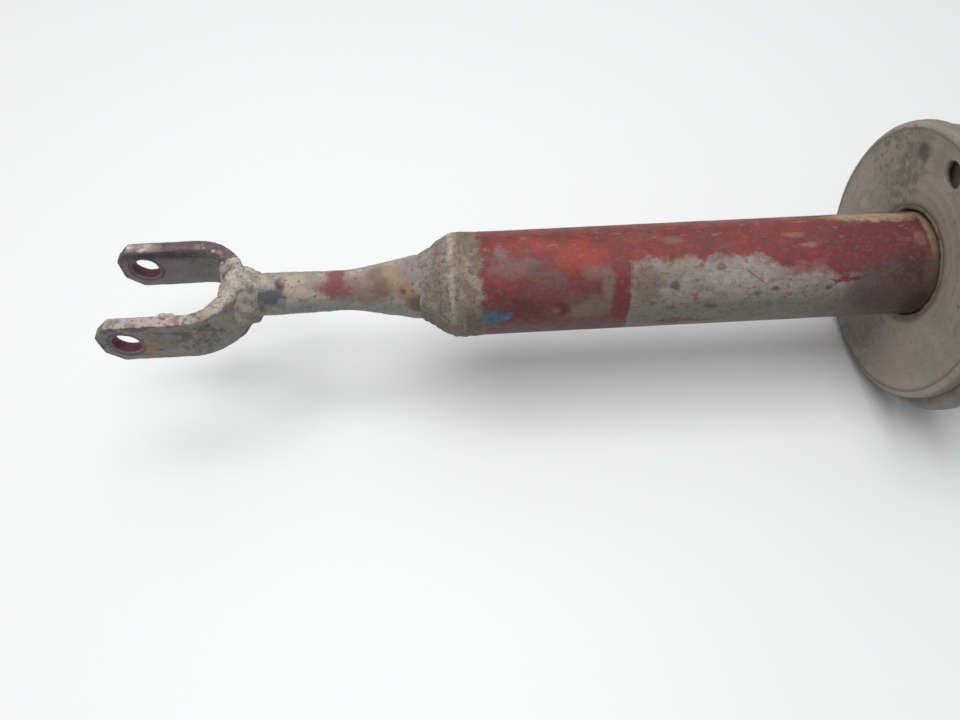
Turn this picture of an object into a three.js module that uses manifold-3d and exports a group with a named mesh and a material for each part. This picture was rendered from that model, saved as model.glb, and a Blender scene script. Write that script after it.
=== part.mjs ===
// Front suspension strut of a car: a twin-tube damper with a clevis fork at its foot, carrying a
// coil spring between a loose lower seat and an upper mount with three studs.
// The strut lies on its side. +X runs along its axis from the fork to the upper mount, +Y along the
// fork's bolt, +Z up. The origin is under the middle of the strut, on the surface that it lies on.
// Lengths are millimetres. Inside the group "strut", x is counted from the fork's bolt hole and the
// strut's axis is the X axis.
import * as THREE from 'three';
import { mergeVertices } from 'three/addons/utils/BufferGeometryUtils.js';
import Module from 'manifold-3d';

const wasm = await Module();
wasm.setup();

// ---- Driving dimensions -------------------------------------------------------------------------
const GAP = 0.3; // clearance kept between pieces that touch

const FORK_GAP = 40.4; // between the arms' inner faces
const FORK_THICKNESS = 6.4;
const FORK_WIDTH = 25.7;
const FORK_TIP_X = -12.6;
const FORK_TIP_CHAMFER = 7.2;
const FORK_BEND_X = 28; // centre of the fork's bend
const BOLT_HOLE_RADIUS = 6.1;

const NECK_START_X = 55.2;
const NECK_END_X = 145.3;
const BODY_RADIUS = 25.5;
const BODY_WALL = 2.2;
const BODY_START_X = 158.6;
const BODY_END_X = 478.5;
const CYLINDER_RADIUS = 15; // bore of the pressure tube
const CYLINDER_WALL = 1.2;

const ROD_RADIUS = 7;
const ROD_THREAD_RADIUS = 6;
const ROD_FOOT_X = 386;
const ROD_SHOULDER_X = 641;
const ROD_TIP_X = 690;
const PISTON_X = 404;
const PISTON_LENGTH = 14;

const SEAT_RIM_X = 380;
const SEAT_RADIUS = 68.8;
const PAD_RADIUS = 70.1; // the lower pad's lip stands proud of the seat and carries the strut
const PAD_OFFSET_Y = -5.7; // the pad has crept sideways on the seat
const PAD_START_X = 387.6;
const PAD_TOP_X = 394.6;

const WIRE_RADIUS = 6.5;
const SPRING_RADIUS = 55; // to the middle of the wire
const SPRING_END_PITCH = 14.6;
const SPRING_END_TURNS = 0.7;
const SPRING_MIDDLE_TURNS = 4.3;
const UPPER_PAD_X = 632; // the face that the spring's last coil bears on

const PLATE_X = 641.2;
const PLATE_THICKNESS = 4;
const PLATE_FLAT_RADIUS = 70.1; // from the axis to each flat side
const PLATE_CORNER_RADIUS = 88;
const STUD_CIRCLE_RADIUS = 77.2;
const STUD_RADIUS = 4;

const SEGMENTS = 24; // round pieces that show
const INNER_SEGMENTS = 16; // round pieces inside the body tube

// ---- Materials ----------------------------------------------------------------------------------
const finish = (color, roughness, metalness) =>
  new THREE.MeshStandardMaterial({ color, roughness, metalness });
const forkSteel = finish(0x6f6868, 0.75, 0.4);
const weldSteel = finish(0x9a9184, 0.85, 0.3);
const neckSteel = finish(0x9c9286, 0.8, 0.3);
const redPaint = finish(0x8a3531, 0.6, 0.0);
const bareSteel = finish(0x9b9a98, 0.4, 0.9);
const chrome = finish(0xd8dadc, 0.12, 1.0);
const dustySteel = finish(0x7d766e, 0.85, 0.2);
const springPaint = finish(0x3c3b39, 0.55, 0.1);
const rubber = finish(0x2b2a29, 0.9, 0.0);
const foam = finish(0xc9b68a, 0.9, 0.0);
const plastic = finish(0x222222, 0.6, 0.0);
const bronze = finish(0x9a7b45, 0.4, 0.8);
const zinc = finish(0xb3ab92, 0.45, 0.8);

// ---- Shape helpers ------------------------------------------------------------------------------
const strut = new THREE.Group();
strut.name = 'strut';

/** Leaves only shared corner points, and drops the triangles that have no area. */
function closed(geometry) {
  geometry.deleteAttribute('normal');
  geometry.deleteAttribute('uv');
  const merged = mergeVertices(geometry, 1e-4);
  const old = merged.index.array;
  const kept = [];
  for (let i = 0; i < old.length; i += 3) {
    const [a, b, c] = [old[i], old[i + 1], old[i + 2]];
    if (a !== b && b !== c && c !== a) kept.push(a, b, c);
  }
  merged.setIndex(kept);
  return merged;
}

/** A manifold-3d solid of a closed geometry. */
function solid(geometry) {
  const shape = closed(geometry.index ? geometry : mergeVertices(geometry));
  return new wasm.Manifold(new wasm.Mesh({
    numProp: 3,
    vertProperties: new Float32Array(shape.attributes.position.array),
    triVerts: new Uint32Array(shape.index.array),
  }));
}

/** The geometry of a manifold-3d solid. */
function shell(manifold) {
  const mesh = manifold.getMesh();
  const geometry = new THREE.BufferGeometry();
  geometry.setAttribute('position', new THREE.BufferAttribute(mesh.vertProperties, 3));
  geometry.setIndex(new THREE.BufferAttribute(mesh.triVerts, 1));
  return geometry;
}

/** Points [x, r] on an arc about [centreX, centreR], from one angle in degrees to another. */
function arc(centreX, centreR, radius, from, to, steps) {
  const points = [];
  for (let i = 0; i <= steps; i += 1) {
    const angle = THREE.MathUtils.degToRad(from + ((to - from) * i) / steps);
    points.push([centreX + radius * Math.cos(angle), centreR + radius * Math.sin(angle)]);
  }
  return points;
}

/**
 * A solid of revolution about the X axis. The profile is a list of [x, r] in either direction. It
 * starts and ends on the axis, or it is a ring's section and is closed here.
 */
function turned(profile, segments = SEGMENTS) {
  const area = profile.reduce((sum, [x, r], i) => {
    const [nextX, nextR] = profile[(i + 1) % profile.length];
    return sum + x * nextR - nextX * r;
  }, 0);
  const ordered = area < 0 ? [...profile] : [...profile].reverse();
  const onAxis = ordered[0][1] === 0 && ordered.at(-1)[1] === 0;
  if (!onAxis) ordered.push(ordered[0]);
  // LatheGeometry turns (r, y) about Y, and the rotation lays Y along X.
  const points = ordered.map(([x, r]) => new THREE.Vector2(r, x));
  return closed(new THREE.LatheGeometry(points, segments).rotateZ(-Math.PI / 2));
}

/** A plain ring or tube about the X axis. */
function ring(fromX, toX, innerRadius, outerRadius, segments = SEGMENTS) {
  const section = [[fromX, innerRadius], [fromX, outerRadius], [toX, outerRadius], [toX, innerRadius]];
  return turned(section, segments);
}

/** A flat shape drawn in (y, z), extruded from fromX to toX. */
function plate(shape, fromX, toX, curveSegments = 12) {
  const geometry = new THREE.ExtrudeGeometry(shape, {
    depth: toX - fromX,
    bevelEnabled: false,
    curveSegments,
  });
  const axes = new THREE.Matrix4().makeBasis(
    new THREE.Vector3(0, 1, 0),
    new THREE.Vector3(0, 0, 1),
    new THREE.Vector3(1, 0, 0),
  );
  return closed(geometry.applyMatrix4(axes).translate(fromX, 0, 0));
}

/** A round outline or hole in (y, z). */
function circle(y, z, radius) {
  const shape = new THREE.Shape();
  shape.absarc(y, z, radius, 0, 2 * Math.PI, false);
  return shape;
}

/** Adds a named mesh to the strut. */
function add(name, geometry, material) {
  const mesh = new THREE.Mesh(geometry, material);
  mesh.name = name;
  strut.add(mesh);
}

// ---- Foot: fork, welds, neck --------------------------------------------------------------------
/** The fork's outline seen along Z, as a strap bent into a U, with its faces moved out by grow. */
function forkOutline(grow = 0) {
  const inner = FORK_GAP / 2 - grow;
  const outer = FORK_GAP / 2 + FORK_THICKNESS + grow;
  const shape = new THREE.Shape();
  shape.moveTo(FORK_TIP_X, -outer);
  shape.lineTo(FORK_BEND_X, -outer);
  shape.absarc(FORK_BEND_X, 0, outer, -Math.PI / 2, Math.PI / 2, false);
  shape.lineTo(FORK_TIP_X, outer);
  shape.lineTo(FORK_TIP_X, inner);
  shape.lineTo(FORK_BEND_X, inner);
  shape.absarc(FORK_BEND_X, 0, inner, Math.PI / 2, -Math.PI / 2, true);
  shape.lineTo(FORK_TIP_X, -inner);
  return shape;
}

function strapSolid(grow, width) {
  const strap = new THREE.ExtrudeGeometry(forkOutline(grow), {
    depth: width,
    bevelEnabled: false,
    curveSegments: 14,
  });
  return solid(strap.translate(0, 0, -width / 2));
}

function fork() {
  const half = FORK_WIDTH / 2;
  const side = new THREE.Shape([
    new THREE.Vector2(FORK_TIP_X, half - FORK_TIP_CHAMFER),
    new THREE.Vector2(FORK_TIP_X, FORK_TIP_CHAMFER - half),
    new THREE.Vector2(FORK_TIP_X + FORK_TIP_CHAMFER, -half),
    new THREE.Vector2(NECK_END_X, -half),
    new THREE.Vector2(NECK_END_X, half),
    new THREE.Vector2(FORK_TIP_X + FORK_TIP_CHAMFER, half),
  ]);
  const depth = FORK_GAP + 4 * FORK_THICKNESS;
  const blank = new THREE.ExtrudeGeometry(side, { depth, bevelEnabled: false });
  blank.rotateX(Math.PI / 2).translate(0, depth / 2, 0);
  const hole = new THREE.CylinderGeometry(BOLT_HOLE_RADIUS, BOLT_HOLE_RADIUS, depth, 32);
  const clipped = strapSolid(0, FORK_WIDTH + 2).intersect(solid(blank));
  return shell(clipped.subtract(solid(hole)));
}
add('fork', fork(), forkSteel);

// The neck is swaged from thick tube. Its bore is open at both ends.
const neckSection = [
  [NECK_START_X, 6.2],
  [NECK_START_X, 10.4],
  [62, 10.6],
  [78, 10.4],
  [90, 10.1],
  [99, 10],
  [106, 10.2],
  [112, 11.1],
  [120, 12.6],
  [128, 14.1],
  [136, 15.7],
  [141, 16.2],
  [NECK_END_X, 16.4],
  [NECK_END_X, 12],
  [136, 11.4],
  [118, 7.9],
  [108, 6.2],
];
add('neck_tube', turned(neckSection), neckSteel);

// A heavy fillet weld joins the neck to the fork's bend, so the fork is cut out of it.
const forkWeldSection = [
  [46.5, 13.2],
  [48, 15.4],
  [51, 17],
  [54, 16.4],
  [57, 14.6],
  [60, 13],
  [64.5, 11.5],
  [64.5, 11],
  [62, 11],
  [55.2, 10.8],
  [50, 10.8],
];
const weldBlank = solid(turned(forkWeldSection, 28));
add('fork_weld', shell(weldBlank.subtract(strapSolid(GAP, FORK_WIDTH + 2 * GAP))), weldSteel);

// ---- Body: base cap, tube, and what closes its top ------------------------------------------------
const capSection = [
  [NECK_END_X + GAP, 0],
  [NECK_END_X + GAP, 15],
  ...arc(156, 15, 10.5, 180, 90, 6).slice(1),
  [BODY_START_X - GAP, BODY_RADIUS],
  [BODY_START_X - GAP, BODY_RADIUS - BODY_WALL - GAP],
  [166, BODY_RADIUS - BODY_WALL - GAP],
  [166, 21],
  [153, 19],
  [150, 15],
  [149, 0],
];
add('base_cap', turned(capSection), weldSteel);

const neckWeldSection = [
  [138.6, 16.6],
  [139, 17.1],
  [141, 18],
  [143.4, 19],
  [145.6, 20.2],
  [147.2, 21.7],
  [148.8, 23.3],
  [148.6, 22.8],
  [147, 21],
  [145.8, 18.8],
  [145, 16.9],
];
add('neck_weld', turned(neckWeldSection), weldSteel);

const tubeSection = [
  [BODY_START_X, BODY_RADIUS - BODY_WALL],
  [BODY_START_X, BODY_RADIUS],
  [BODY_END_X - 3, BODY_RADIUS],
  [BODY_END_X - 0.8, BODY_RADIUS - 0.9],
  [BODY_END_X, BODY_RADIUS - 3],
  [BODY_END_X, 19],
  [BODY_END_X - 2, 19],
  [BODY_END_X - 2, BODY_RADIUS - BODY_WALL],
];
add('body_tube', turned(tubeSection), redPaint);

add('seat_support_ring', ring(400, 403.2, BODY_RADIUS + GAP, 27.3), bareSteel);

const guideSection = [
  [446.3, 8.9],
  [446.3, CYLINDER_RADIUS - GAP],
  [452.3, CYLINDER_RADIUS - GAP],
  [452.3, 17.5],
  [455, 17.5],
  [455, 23],
  [464, 23],
  [464, 8.9],
];
add('rod_guide', turned(guideSection, INNER_SEGMENTS), bareSteel);
add('guide_bush', ring(447, 463.5, ROD_RADIUS + 0.3, 8.6, INNER_SEGMENTS), bronze);

const sealSection = [
  [464.4, 12],
  [464.4, 23],
  [471.6, 23],
  [471.6, 10.5],
  [474.5, 8.6],
  [473.6, ROD_RADIUS + 0.3],
  [470.5, 8.4],
  [466.5, ROD_RADIUS + 0.3],
  [465.2, 8.2],
  [467.5, 12],
];
add('rod_seal', turned(sealSection, INNER_SEGMENTS), rubber);
add('closing_disc', ring(472, 476.2, 11, 23, INNER_SEGMENTS), bareSteel);

const strikerSection = [
  [462, BODY_RADIUS + GAP],
  [462, 27.3],
  [480.2, 27.3],
  [481.5, 26],
  [481.5, 9],
  [479, 9],
  [479, BODY_RADIUS + GAP],
];
add('striker_cap', turned(strikerSection), plastic);

// ---- Pressure tube with the base valve --------------------------------------------------------------
const TUBE_START_X = 171.3;
add(
  'pressure_tube',
  ring(TUBE_START_X, 452, CYLINDER_RADIUS, CYLINDER_RADIUS + CYLINDER_WALL, INNER_SEGMENTS),
  bareSteel,
);

/** A ring of round ports along X, as one solid for cutting. */
function ports(fromX, toX, circleRadius, radius, count) {
  let all = null;
  for (let i = 0; i < count; i += 1) {
    const angle = (2 * Math.PI * i) / count;
    const port = circle(circleRadius * Math.cos(angle), circleRadius * Math.sin(angle), radius);
    const cutter = solid(plate(port, fromX, toX, 4));
    all = all ? all.add(cutter) : cutter;
  }
  return all;
}

const valveBodySection = [
  [150.6, 11.5],
  [150.6, 14.3],
  [163, 14.3],
  [163, 18],
  [TUBE_START_X - GAP, 18],
  [TUBE_START_X - GAP, CYLINDER_RADIUS - GAP],
  [177, CYLINDER_RADIUS - GAP],
  [177, 3.4],
  [165, 3.4],
  [165, 11.5],
];
const valveBody = solid(turned(valveBodySection, INNER_SEGMENTS));
add('base_valve_body', shell(valveBody.subtract(ports(164, 178, 9, 1.8, 6))), bareSteel);
add('intake_valve_plate', ring(177.3, 178.1, 3.6, 13.4, INNER_SEGMENTS), bareSteel);
const valveBoltSection = [
  [161.5, 0],
  [161.5, 5.4],
  [164.7, 5.4],
  [164.7, 3.1],
  [179.5, 3.1],
  [179.5, 6.5],
  [182, 6.5],
  [182, 0],
];
add('base_valve_bolt', turned(valveBoltSection, 20), bareSteel);

// ---- Lower seat, pad and spring ---------------------------------------------------------------------
// The seat is a shallow pressed dish. Its face towards the fork is 4 mm deeper at the middle than at
// the rolled rim, and a sleeve round the tube ends in a lip that bears on the support ring.
const seatSection = [
  [384, 28],
  [383.6, 34],
  [382.2, 50],
  [380.8, 62],
  ...arc(382.9, 65.9, 2.9, 180, 90, 4),
  [386.6, SEAT_RADIUS],
  [386.6, SEAT_RADIUS - 2.4],
  [384.4, 65.4],
  [383.6, 62],
  [385, 50],
  [386.6, 36],
  [388.5, 31],
  [406.5, 30.6],
  [406.5, 26],
  [403.5, 26],
  [403.5, 28],
];
const DRAIN_HOLE = { y: 5, z: 53, radius: 6.4 };
const drain = solid(plate(circle(DRAIN_HOLE.y, DRAIN_HOLE.z, DRAIN_HOLE.radius), 370, 398, 6));
const seatBlank = solid(turned(seatSection, 36));
add('lower_spring_seat', shell(seatBlank.subtract(drain)), dustySteel);

const padShape = circle(PAD_OFFSET_Y, 0, PAD_RADIUS);
padShape.holes.push(circle(0, 0, 40));
add('lower_spring_pad', plate(padShape, PAD_START_X, PAD_TOP_X, 28), rubber);

/** The middle line of the spring's wire: closed end turns, and an even pitch between them. */
class SpringLine extends THREE.Curve {
  constructor(fromX, toX) {
    super();
    this.turns = 2 * SPRING_END_TURNS + SPRING_MIDDLE_TURNS;
    const ends = 2 * SPRING_END_TURNS * SPRING_END_PITCH;
    this.pitch = (toX - fromX - ends) / SPRING_MIDDLE_TURNS;
    this.fromX = fromX;
  }

  getPoint(t, target = new THREE.Vector3()) {
    const turn = t * this.turns;
    const first = Math.min(turn, SPRING_END_TURNS);
    const last = Math.max(turn - SPRING_END_TURNS - SPRING_MIDDLE_TURNS, 0);
    const middle = turn - first - last;
    const x = this.fromX + (first + last) * SPRING_END_PITCH + middle * this.pitch;
    const angle = 2 * Math.PI * turn;
    return target.set(x, SPRING_RADIUS * Math.cos(angle), SPRING_RADIUS * Math.sin(angle));
  }
}
const springLine = new SpringLine(PAD_TOP_X + GAP + WIRE_RADIUS, UPPER_PAD_X - GAP - WIRE_RADIUS);
const coilSpring = new THREE.ExtrudeGeometry(circle(0, 0, WIRE_RADIUS), {
  extrudePath: springLine,
  steps: 84,
  curveSegments: 4,
});
add('coil_spring', closed(coilSpring), springPaint);

// ---- Piston rod and what is fixed to it ---------------------------------------------------------------
const rodSection = [
  [ROD_FOOT_X, 0],
  [ROD_FOOT_X, 4.4],
  [ROD_FOOT_X + 0.6, 5],
  [422.7, 5],
  [422.7, ROD_RADIUS],
  [ROD_SHOULDER_X, ROD_RADIUS],
  [ROD_SHOULDER_X, ROD_THREAD_RADIUS],
  [ROD_TIP_X - 1.2, ROD_THREAD_RADIUS],
  [ROD_TIP_X, ROD_THREAD_RADIUS - 1.2],
  [ROD_TIP_X, 0],
];
add('piston_rod', turned(rodSection, INNER_SEGMENTS), chrome);

/** A hexagonal nut about the X axis. */
function nut(fromX, toX, acrossFlats, boreRadius) {
  const corner = acrossFlats / Math.sqrt(3);
  const shape = new THREE.Shape();
  for (let i = 0; i < 6; i += 1) {
    const angle = (Math.PI * i) / 3;
    const point = [corner * Math.cos(angle), corner * Math.sin(angle)];
    if (i === 0) shape.moveTo(...point);
    else shape.lineTo(...point);
  }
  shape.holes.push(circle(0, 0, boreRadius));
  return plate(shape, fromX, toX, 10);
}

const pistonBlank = solid(ring(PISTON_X, PISTON_X + PISTON_LENGTH, 5.3, 13.7, INNER_SEGMENTS));
const pistonPorts = ports(PISTON_X - 1, PISTON_X + PISTON_LENGTH + 1, 9.8, 1.8, 6);
add('piston', shell(pistonBlank.subtract(pistonPorts)), bareSteel);
add('piston_ring', ring(405.5, 416.5, 14, 14.6, INNER_SEGMENTS), plastic);
add('rebound_shims', ring(401, 403.7, 5.3, 12.4, INNER_SEGMENTS), bareSteel);
add('piston_nut', nut(390, 400.7, 17, 5.3), bareSteel);
add('check_valve_plate', ring(418.3, 419.1, 5.3, 13, INNER_SEGMENTS), bareSteel);
add('check_valve_stop', ring(420.4, 422.4, 5.3, 10, INNER_SEGMENTS), bareSteel);
add('rebound_collar', ring(432, 435.5, ROD_RADIUS + GAP, 12.5, INNER_SEGMENTS), bareSteel);
add('rebound_buffer', ring(435.8, 445.9, ROD_RADIUS + GAP, 13.6, INNER_SEGMENTS), rubber);

const bumpSection = [
  [572, 7.8],
  [572, 11],
  [575, 14.5],
  [580, 15.5],
  [586, 13],
  [592, 17],
  [598, 18],
  [605, 14.5],
  [612, 19],
  [619, 20],
  [625, 16],
  [629, 20],
  [634.6, 20],
  [634.6, 7.8],
];
add('bump_stop', turned(bumpSection, INNER_SEGMENTS), foam);

// The gaiter is a folded rubber sleeve. Its lower end slides on the striker cap.
const GAITER_FOLDS = 8;
const GAITER_START_X = 486;
const GAITER_END_X = 634;
const GAITER_CREST_RADIUS = 34;
const GAITER_ROOT_RADIUS = 28.5;
const GAITER_WALL = 1.4;
function gaiterSection() {
  const fold = (GAITER_END_X - GAITER_START_X) / GAITER_FOLDS;
  const outside = [[468, 28 + GAITER_WALL]];
  for (let i = 0; i < GAITER_FOLDS; i += 1) {
    const x = GAITER_START_X + i * fold;
    outside.push([x, GAITER_ROOT_RADIUS + GAITER_WALL]);
    outside.push([x + fold / 2, GAITER_CREST_RADIUS + GAITER_WALL]);
  }
  outside.push([GAITER_END_X, GAITER_ROOT_RADIUS + GAITER_WALL]);
  const inside = outside.map(([x, r]) => [x, r - GAITER_WALL]);
  return [...outside, ...inside.reverse()];
}
add('dust_gaiter', turned(gaiterSection(), INNER_SEGMENTS), rubber);

// ---- Upper mount --------------------------------------------------------------------------------------
add('upper_spring_pad', ring(UPPER_PAD_X, 637.9, 44, 65), rubber);
const upperSeatSection = [
  [638.2, 30.5],
  [638.2, 66],
  [631, 67.2],
  [631, 69.4],
  [638.5, 69],
  [640.8, 66.5],
  [640.8, 30.5],
];
add('upper_spring_seat', turned(upperSeatSection, 36), dustySteel);

/** A triangle with a flat side down and its corners cut back to a circle. */
function mountOutline() {
  const shape = new THREE.Shape();
  const halfFlat = Math.acos(PLATE_FLAT_RADIUS / PLATE_CORNER_RADIUS);
  for (let i = 0; i < 3; i += 1) {
    const side = -Math.PI / 2 + (2 * Math.PI * i) / 3;
    const nextSide = side + (2 * Math.PI) / 3;
    shape.absarc(0, 0, PLATE_CORNER_RADIUS, side + halfFlat, nextSide - halfFlat, false);
  }
  return shape;
}
const STUD_ANGLES = [90, 210, 330].map(THREE.MathUtils.degToRad);
const studPlaces = STUD_ANGLES.map((angle) => [
  STUD_CIRCLE_RADIUS * Math.cos(angle),
  STUD_CIRCLE_RADIUS * Math.sin(angle),
]);
const HOUSING_RADIUS = 33.7;
const mountShape = mountOutline();
mountShape.holes.push(circle(0, 0, HOUSING_RADIUS + 2 * GAP));
for (const [y, z] of studPlaces) mountShape.holes.push(circle(y, z, STUD_RADIUS + GAP));
const PLATE_FACE_X = PLATE_X + PLATE_THICKNESS;
add('mount_plate', plate(mountShape, PLATE_X, PLATE_FACE_X), dustySteel);

const housingSection = [
  [PLATE_X, 31],
  [PLATE_X, HOUSING_RADIUS],
  [664.5, HOUSING_RADIUS],
  [667, 31.5],
  [667, 25.5],
  [664.5, 25.5],
  [664.5, 31],
];
add('mount_housing', turned(housingSection), dustySteel);

const bushSection = [
  [645, 11.8],
  [645, 27],
  [648, 30.6],
  [664, 30.6],
  [664, 24],
  [660.5, 21],
  [660.5, 16],
  [664, 13],
  [664, 11.8],
];
add('mount_rubber', turned(bushSection), rubber);
add('mount_sleeve', ring(644.7, 667.5, ROD_THREAD_RADIUS + GAP, 11.5, INNER_SEGMENTS), bareSteel);
add('lower_snub_washer', ring(641.3, 644.4, ROD_THREAD_RADIUS + GAP, 24, INNER_SEGMENTS), bareSteel);
const upperWasherSection = [
  [667.8, ROD_THREAD_RADIUS + GAP],
  [667.8, 22],
  [665.8, 24.5],
  [668, 24.8],
  [670.6, 22],
  [670.6, ROD_THREAD_RADIUS + GAP],
];
add('upper_snub_washer', turned(upperWasherSection, INNER_SEGMENTS), zinc);
add('rod_nut', nut(670.9, 681.4, 19, ROD_THREAD_RADIUS + GAP), zinc);

studPlaces.forEach(([y, z], i) => {
  const section = [
    [638.4, 0],
    [638.4, 7.4],
    [640.9, 7.4],
    [640.9, STUD_RADIUS],
    [668.5, STUD_RADIUS],
    [669.5, STUD_RADIUS - 1],
    [669.5, 0],
  ];
  add(`mount_stud_${i + 1}`, turned(section, 20).translate(0, y, z), zinc);
});

// ---- Row frame --------------------------------------------------------------------------------------------
strut.position.set(-(FORK_TIP_X + ROD_TIP_X) / 2, 0, PAD_RADIUS);
const model = new THREE.Group();
model.add(strut);
export default model;
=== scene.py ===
"""Looks of a used car suspension strut that lies on its side on a pale board.

Strut millimetres are used throughout: x counts from the fork's bolt hole along the strut's axis,
y and z are measured from the axis, and z is up. Angles round the axis are degrees from +y to +z.
"""
import math

import bmesh
import bpy
import numpy as np
from mathutils import Matrix, Vector, noise


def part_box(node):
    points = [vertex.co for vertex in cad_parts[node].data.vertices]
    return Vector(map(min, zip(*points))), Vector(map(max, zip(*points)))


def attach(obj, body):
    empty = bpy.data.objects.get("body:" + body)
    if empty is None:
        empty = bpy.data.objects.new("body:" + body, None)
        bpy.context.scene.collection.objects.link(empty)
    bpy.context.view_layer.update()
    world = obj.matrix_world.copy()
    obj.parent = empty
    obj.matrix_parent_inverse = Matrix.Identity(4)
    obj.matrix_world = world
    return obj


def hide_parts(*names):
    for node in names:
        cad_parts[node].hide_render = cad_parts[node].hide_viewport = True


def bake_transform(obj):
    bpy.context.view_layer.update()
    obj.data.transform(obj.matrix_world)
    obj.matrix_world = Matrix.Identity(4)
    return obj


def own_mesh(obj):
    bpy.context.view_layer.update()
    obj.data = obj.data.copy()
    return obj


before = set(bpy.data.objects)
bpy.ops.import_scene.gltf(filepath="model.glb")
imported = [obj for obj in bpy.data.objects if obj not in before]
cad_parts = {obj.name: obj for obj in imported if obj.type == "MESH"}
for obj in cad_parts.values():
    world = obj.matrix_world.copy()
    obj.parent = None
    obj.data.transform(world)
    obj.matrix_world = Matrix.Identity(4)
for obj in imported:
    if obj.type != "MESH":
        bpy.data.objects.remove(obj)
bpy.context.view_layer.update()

MM = 0.001
TIP_X = -12.6  # the fork's tips, which are the lowest x of the CAD model
tube_low, tube_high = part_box("body_tube")
ORIGIN = Vector((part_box("fork")[0].x - TIP_X * MM, 0, (tube_low.z + tube_high.z) / 2))
FACING = 130  # degrees: the side of the strut that the camera looks at


def span(node):
    """A CAD node's first x, last x and largest y, in strut millimetres."""
    low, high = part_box(node)
    return (low.x - ORIGIN.x) / MM, (high.x - ORIGIN.x) / MM, high.y / MM


# ---- Camera, light and floor ----
CAMERA_PLACE = Vector((158.2, -230.4, 276.2))  # strut millimetres
CAMERA_DOWN = math.radians(56.216)
CAMERA_YAW = math.radians(2.478)
CAMERA_ROLL = math.radians(-0.936)
CAMERA_LENS = 26.91


def add_camera():
    """The camera looks down and along +y, with a slight yaw and roll."""
    data = bpy.data.cameras.new("camera")
    data.lens = CAMERA_LENS
    data.sensor_width = 36
    data.clip_start = 0.01
    forward = Vector((
        math.sin(CAMERA_YAW) * math.cos(CAMERA_DOWN),
        math.cos(CAMERA_YAW) * math.cos(CAMERA_DOWN),
        -math.sin(CAMERA_DOWN),
    ))
    right = Vector((math.cos(CAMERA_YAW), -math.sin(CAMERA_YAW), 0))
    up = right.cross(forward)
    rolled_right = math.cos(CAMERA_ROLL) * right + math.sin(CAMERA_ROLL) * up
    rolled_up = math.cos(CAMERA_ROLL) * up - math.sin(CAMERA_ROLL) * right
    camera = bpy.data.objects.new("camera", data)
    turn = Matrix((rolled_right, rolled_up, -forward)).transposed().to_4x4()
    camera.matrix_world = Matrix.Translation(ORIGIN + CAMERA_PLACE * MM) @ turn
    bpy.context.scene.collection.objects.link(camera)
    bpy.context.scene.camera = camera


def add_light(name, place, aim, size, watts):
    """A square soft box at place that looks at aim, both in metres."""
    data = bpy.data.lights.new(name, "AREA")
    data.size = size
    data.energy = watts
    light = bpy.data.objects.new(name, data)
    light.location = place
    light.rotation_mode = "QUATERNION"
    light.rotation_quaternion = (Vector(aim) - Vector(place)).to_track_quat("-Z", "Y")
    bpy.context.scene.collection.objects.link(light)


def light_studio():
    """A pale room, a wide soft box overhead, and a weak one behind the strut."""
    world = bpy.data.worlds.new("pale_room")
    world.use_nodes = True
    backdrop = world.node_tree.nodes["Background"]
    backdrop.inputs["Color"].default_value = (0.985, 0.99, 1.0, 1)
    backdrop.inputs["Strength"].default_value = 0.3
    bpy.context.scene.world = world
    add_light("ceiling_soft_box", (-0.35, -0.02, 1.5), (-0.15, 0, 0), 1.3, 19)
    add_light("back_soft_box", (0, 1.15, 1.7), (0, 0.05, 0), 2.2, 10)
    bpy.context.scene.view_settings.view_transform = "Standard"


# ---- Node materials ----
def srgb(colour):
    """A shader colour from the six hex digits of a colour as it shows on a screen."""
    levels = [level / 255 for level in bytes.fromhex(colour)]
    linear = [((c + 0.055) / 1.055) ** 2.4 if c > 0.04 else c / 12.92 for c in levels]
    return (*linear, 1.0)


def shade(colour, share, more=0):
    """A colour with each of its levels scaled and raised."""
    return bytes(round(level * share + more) for level in bytes.fromhex(colour)).hex()


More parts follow.
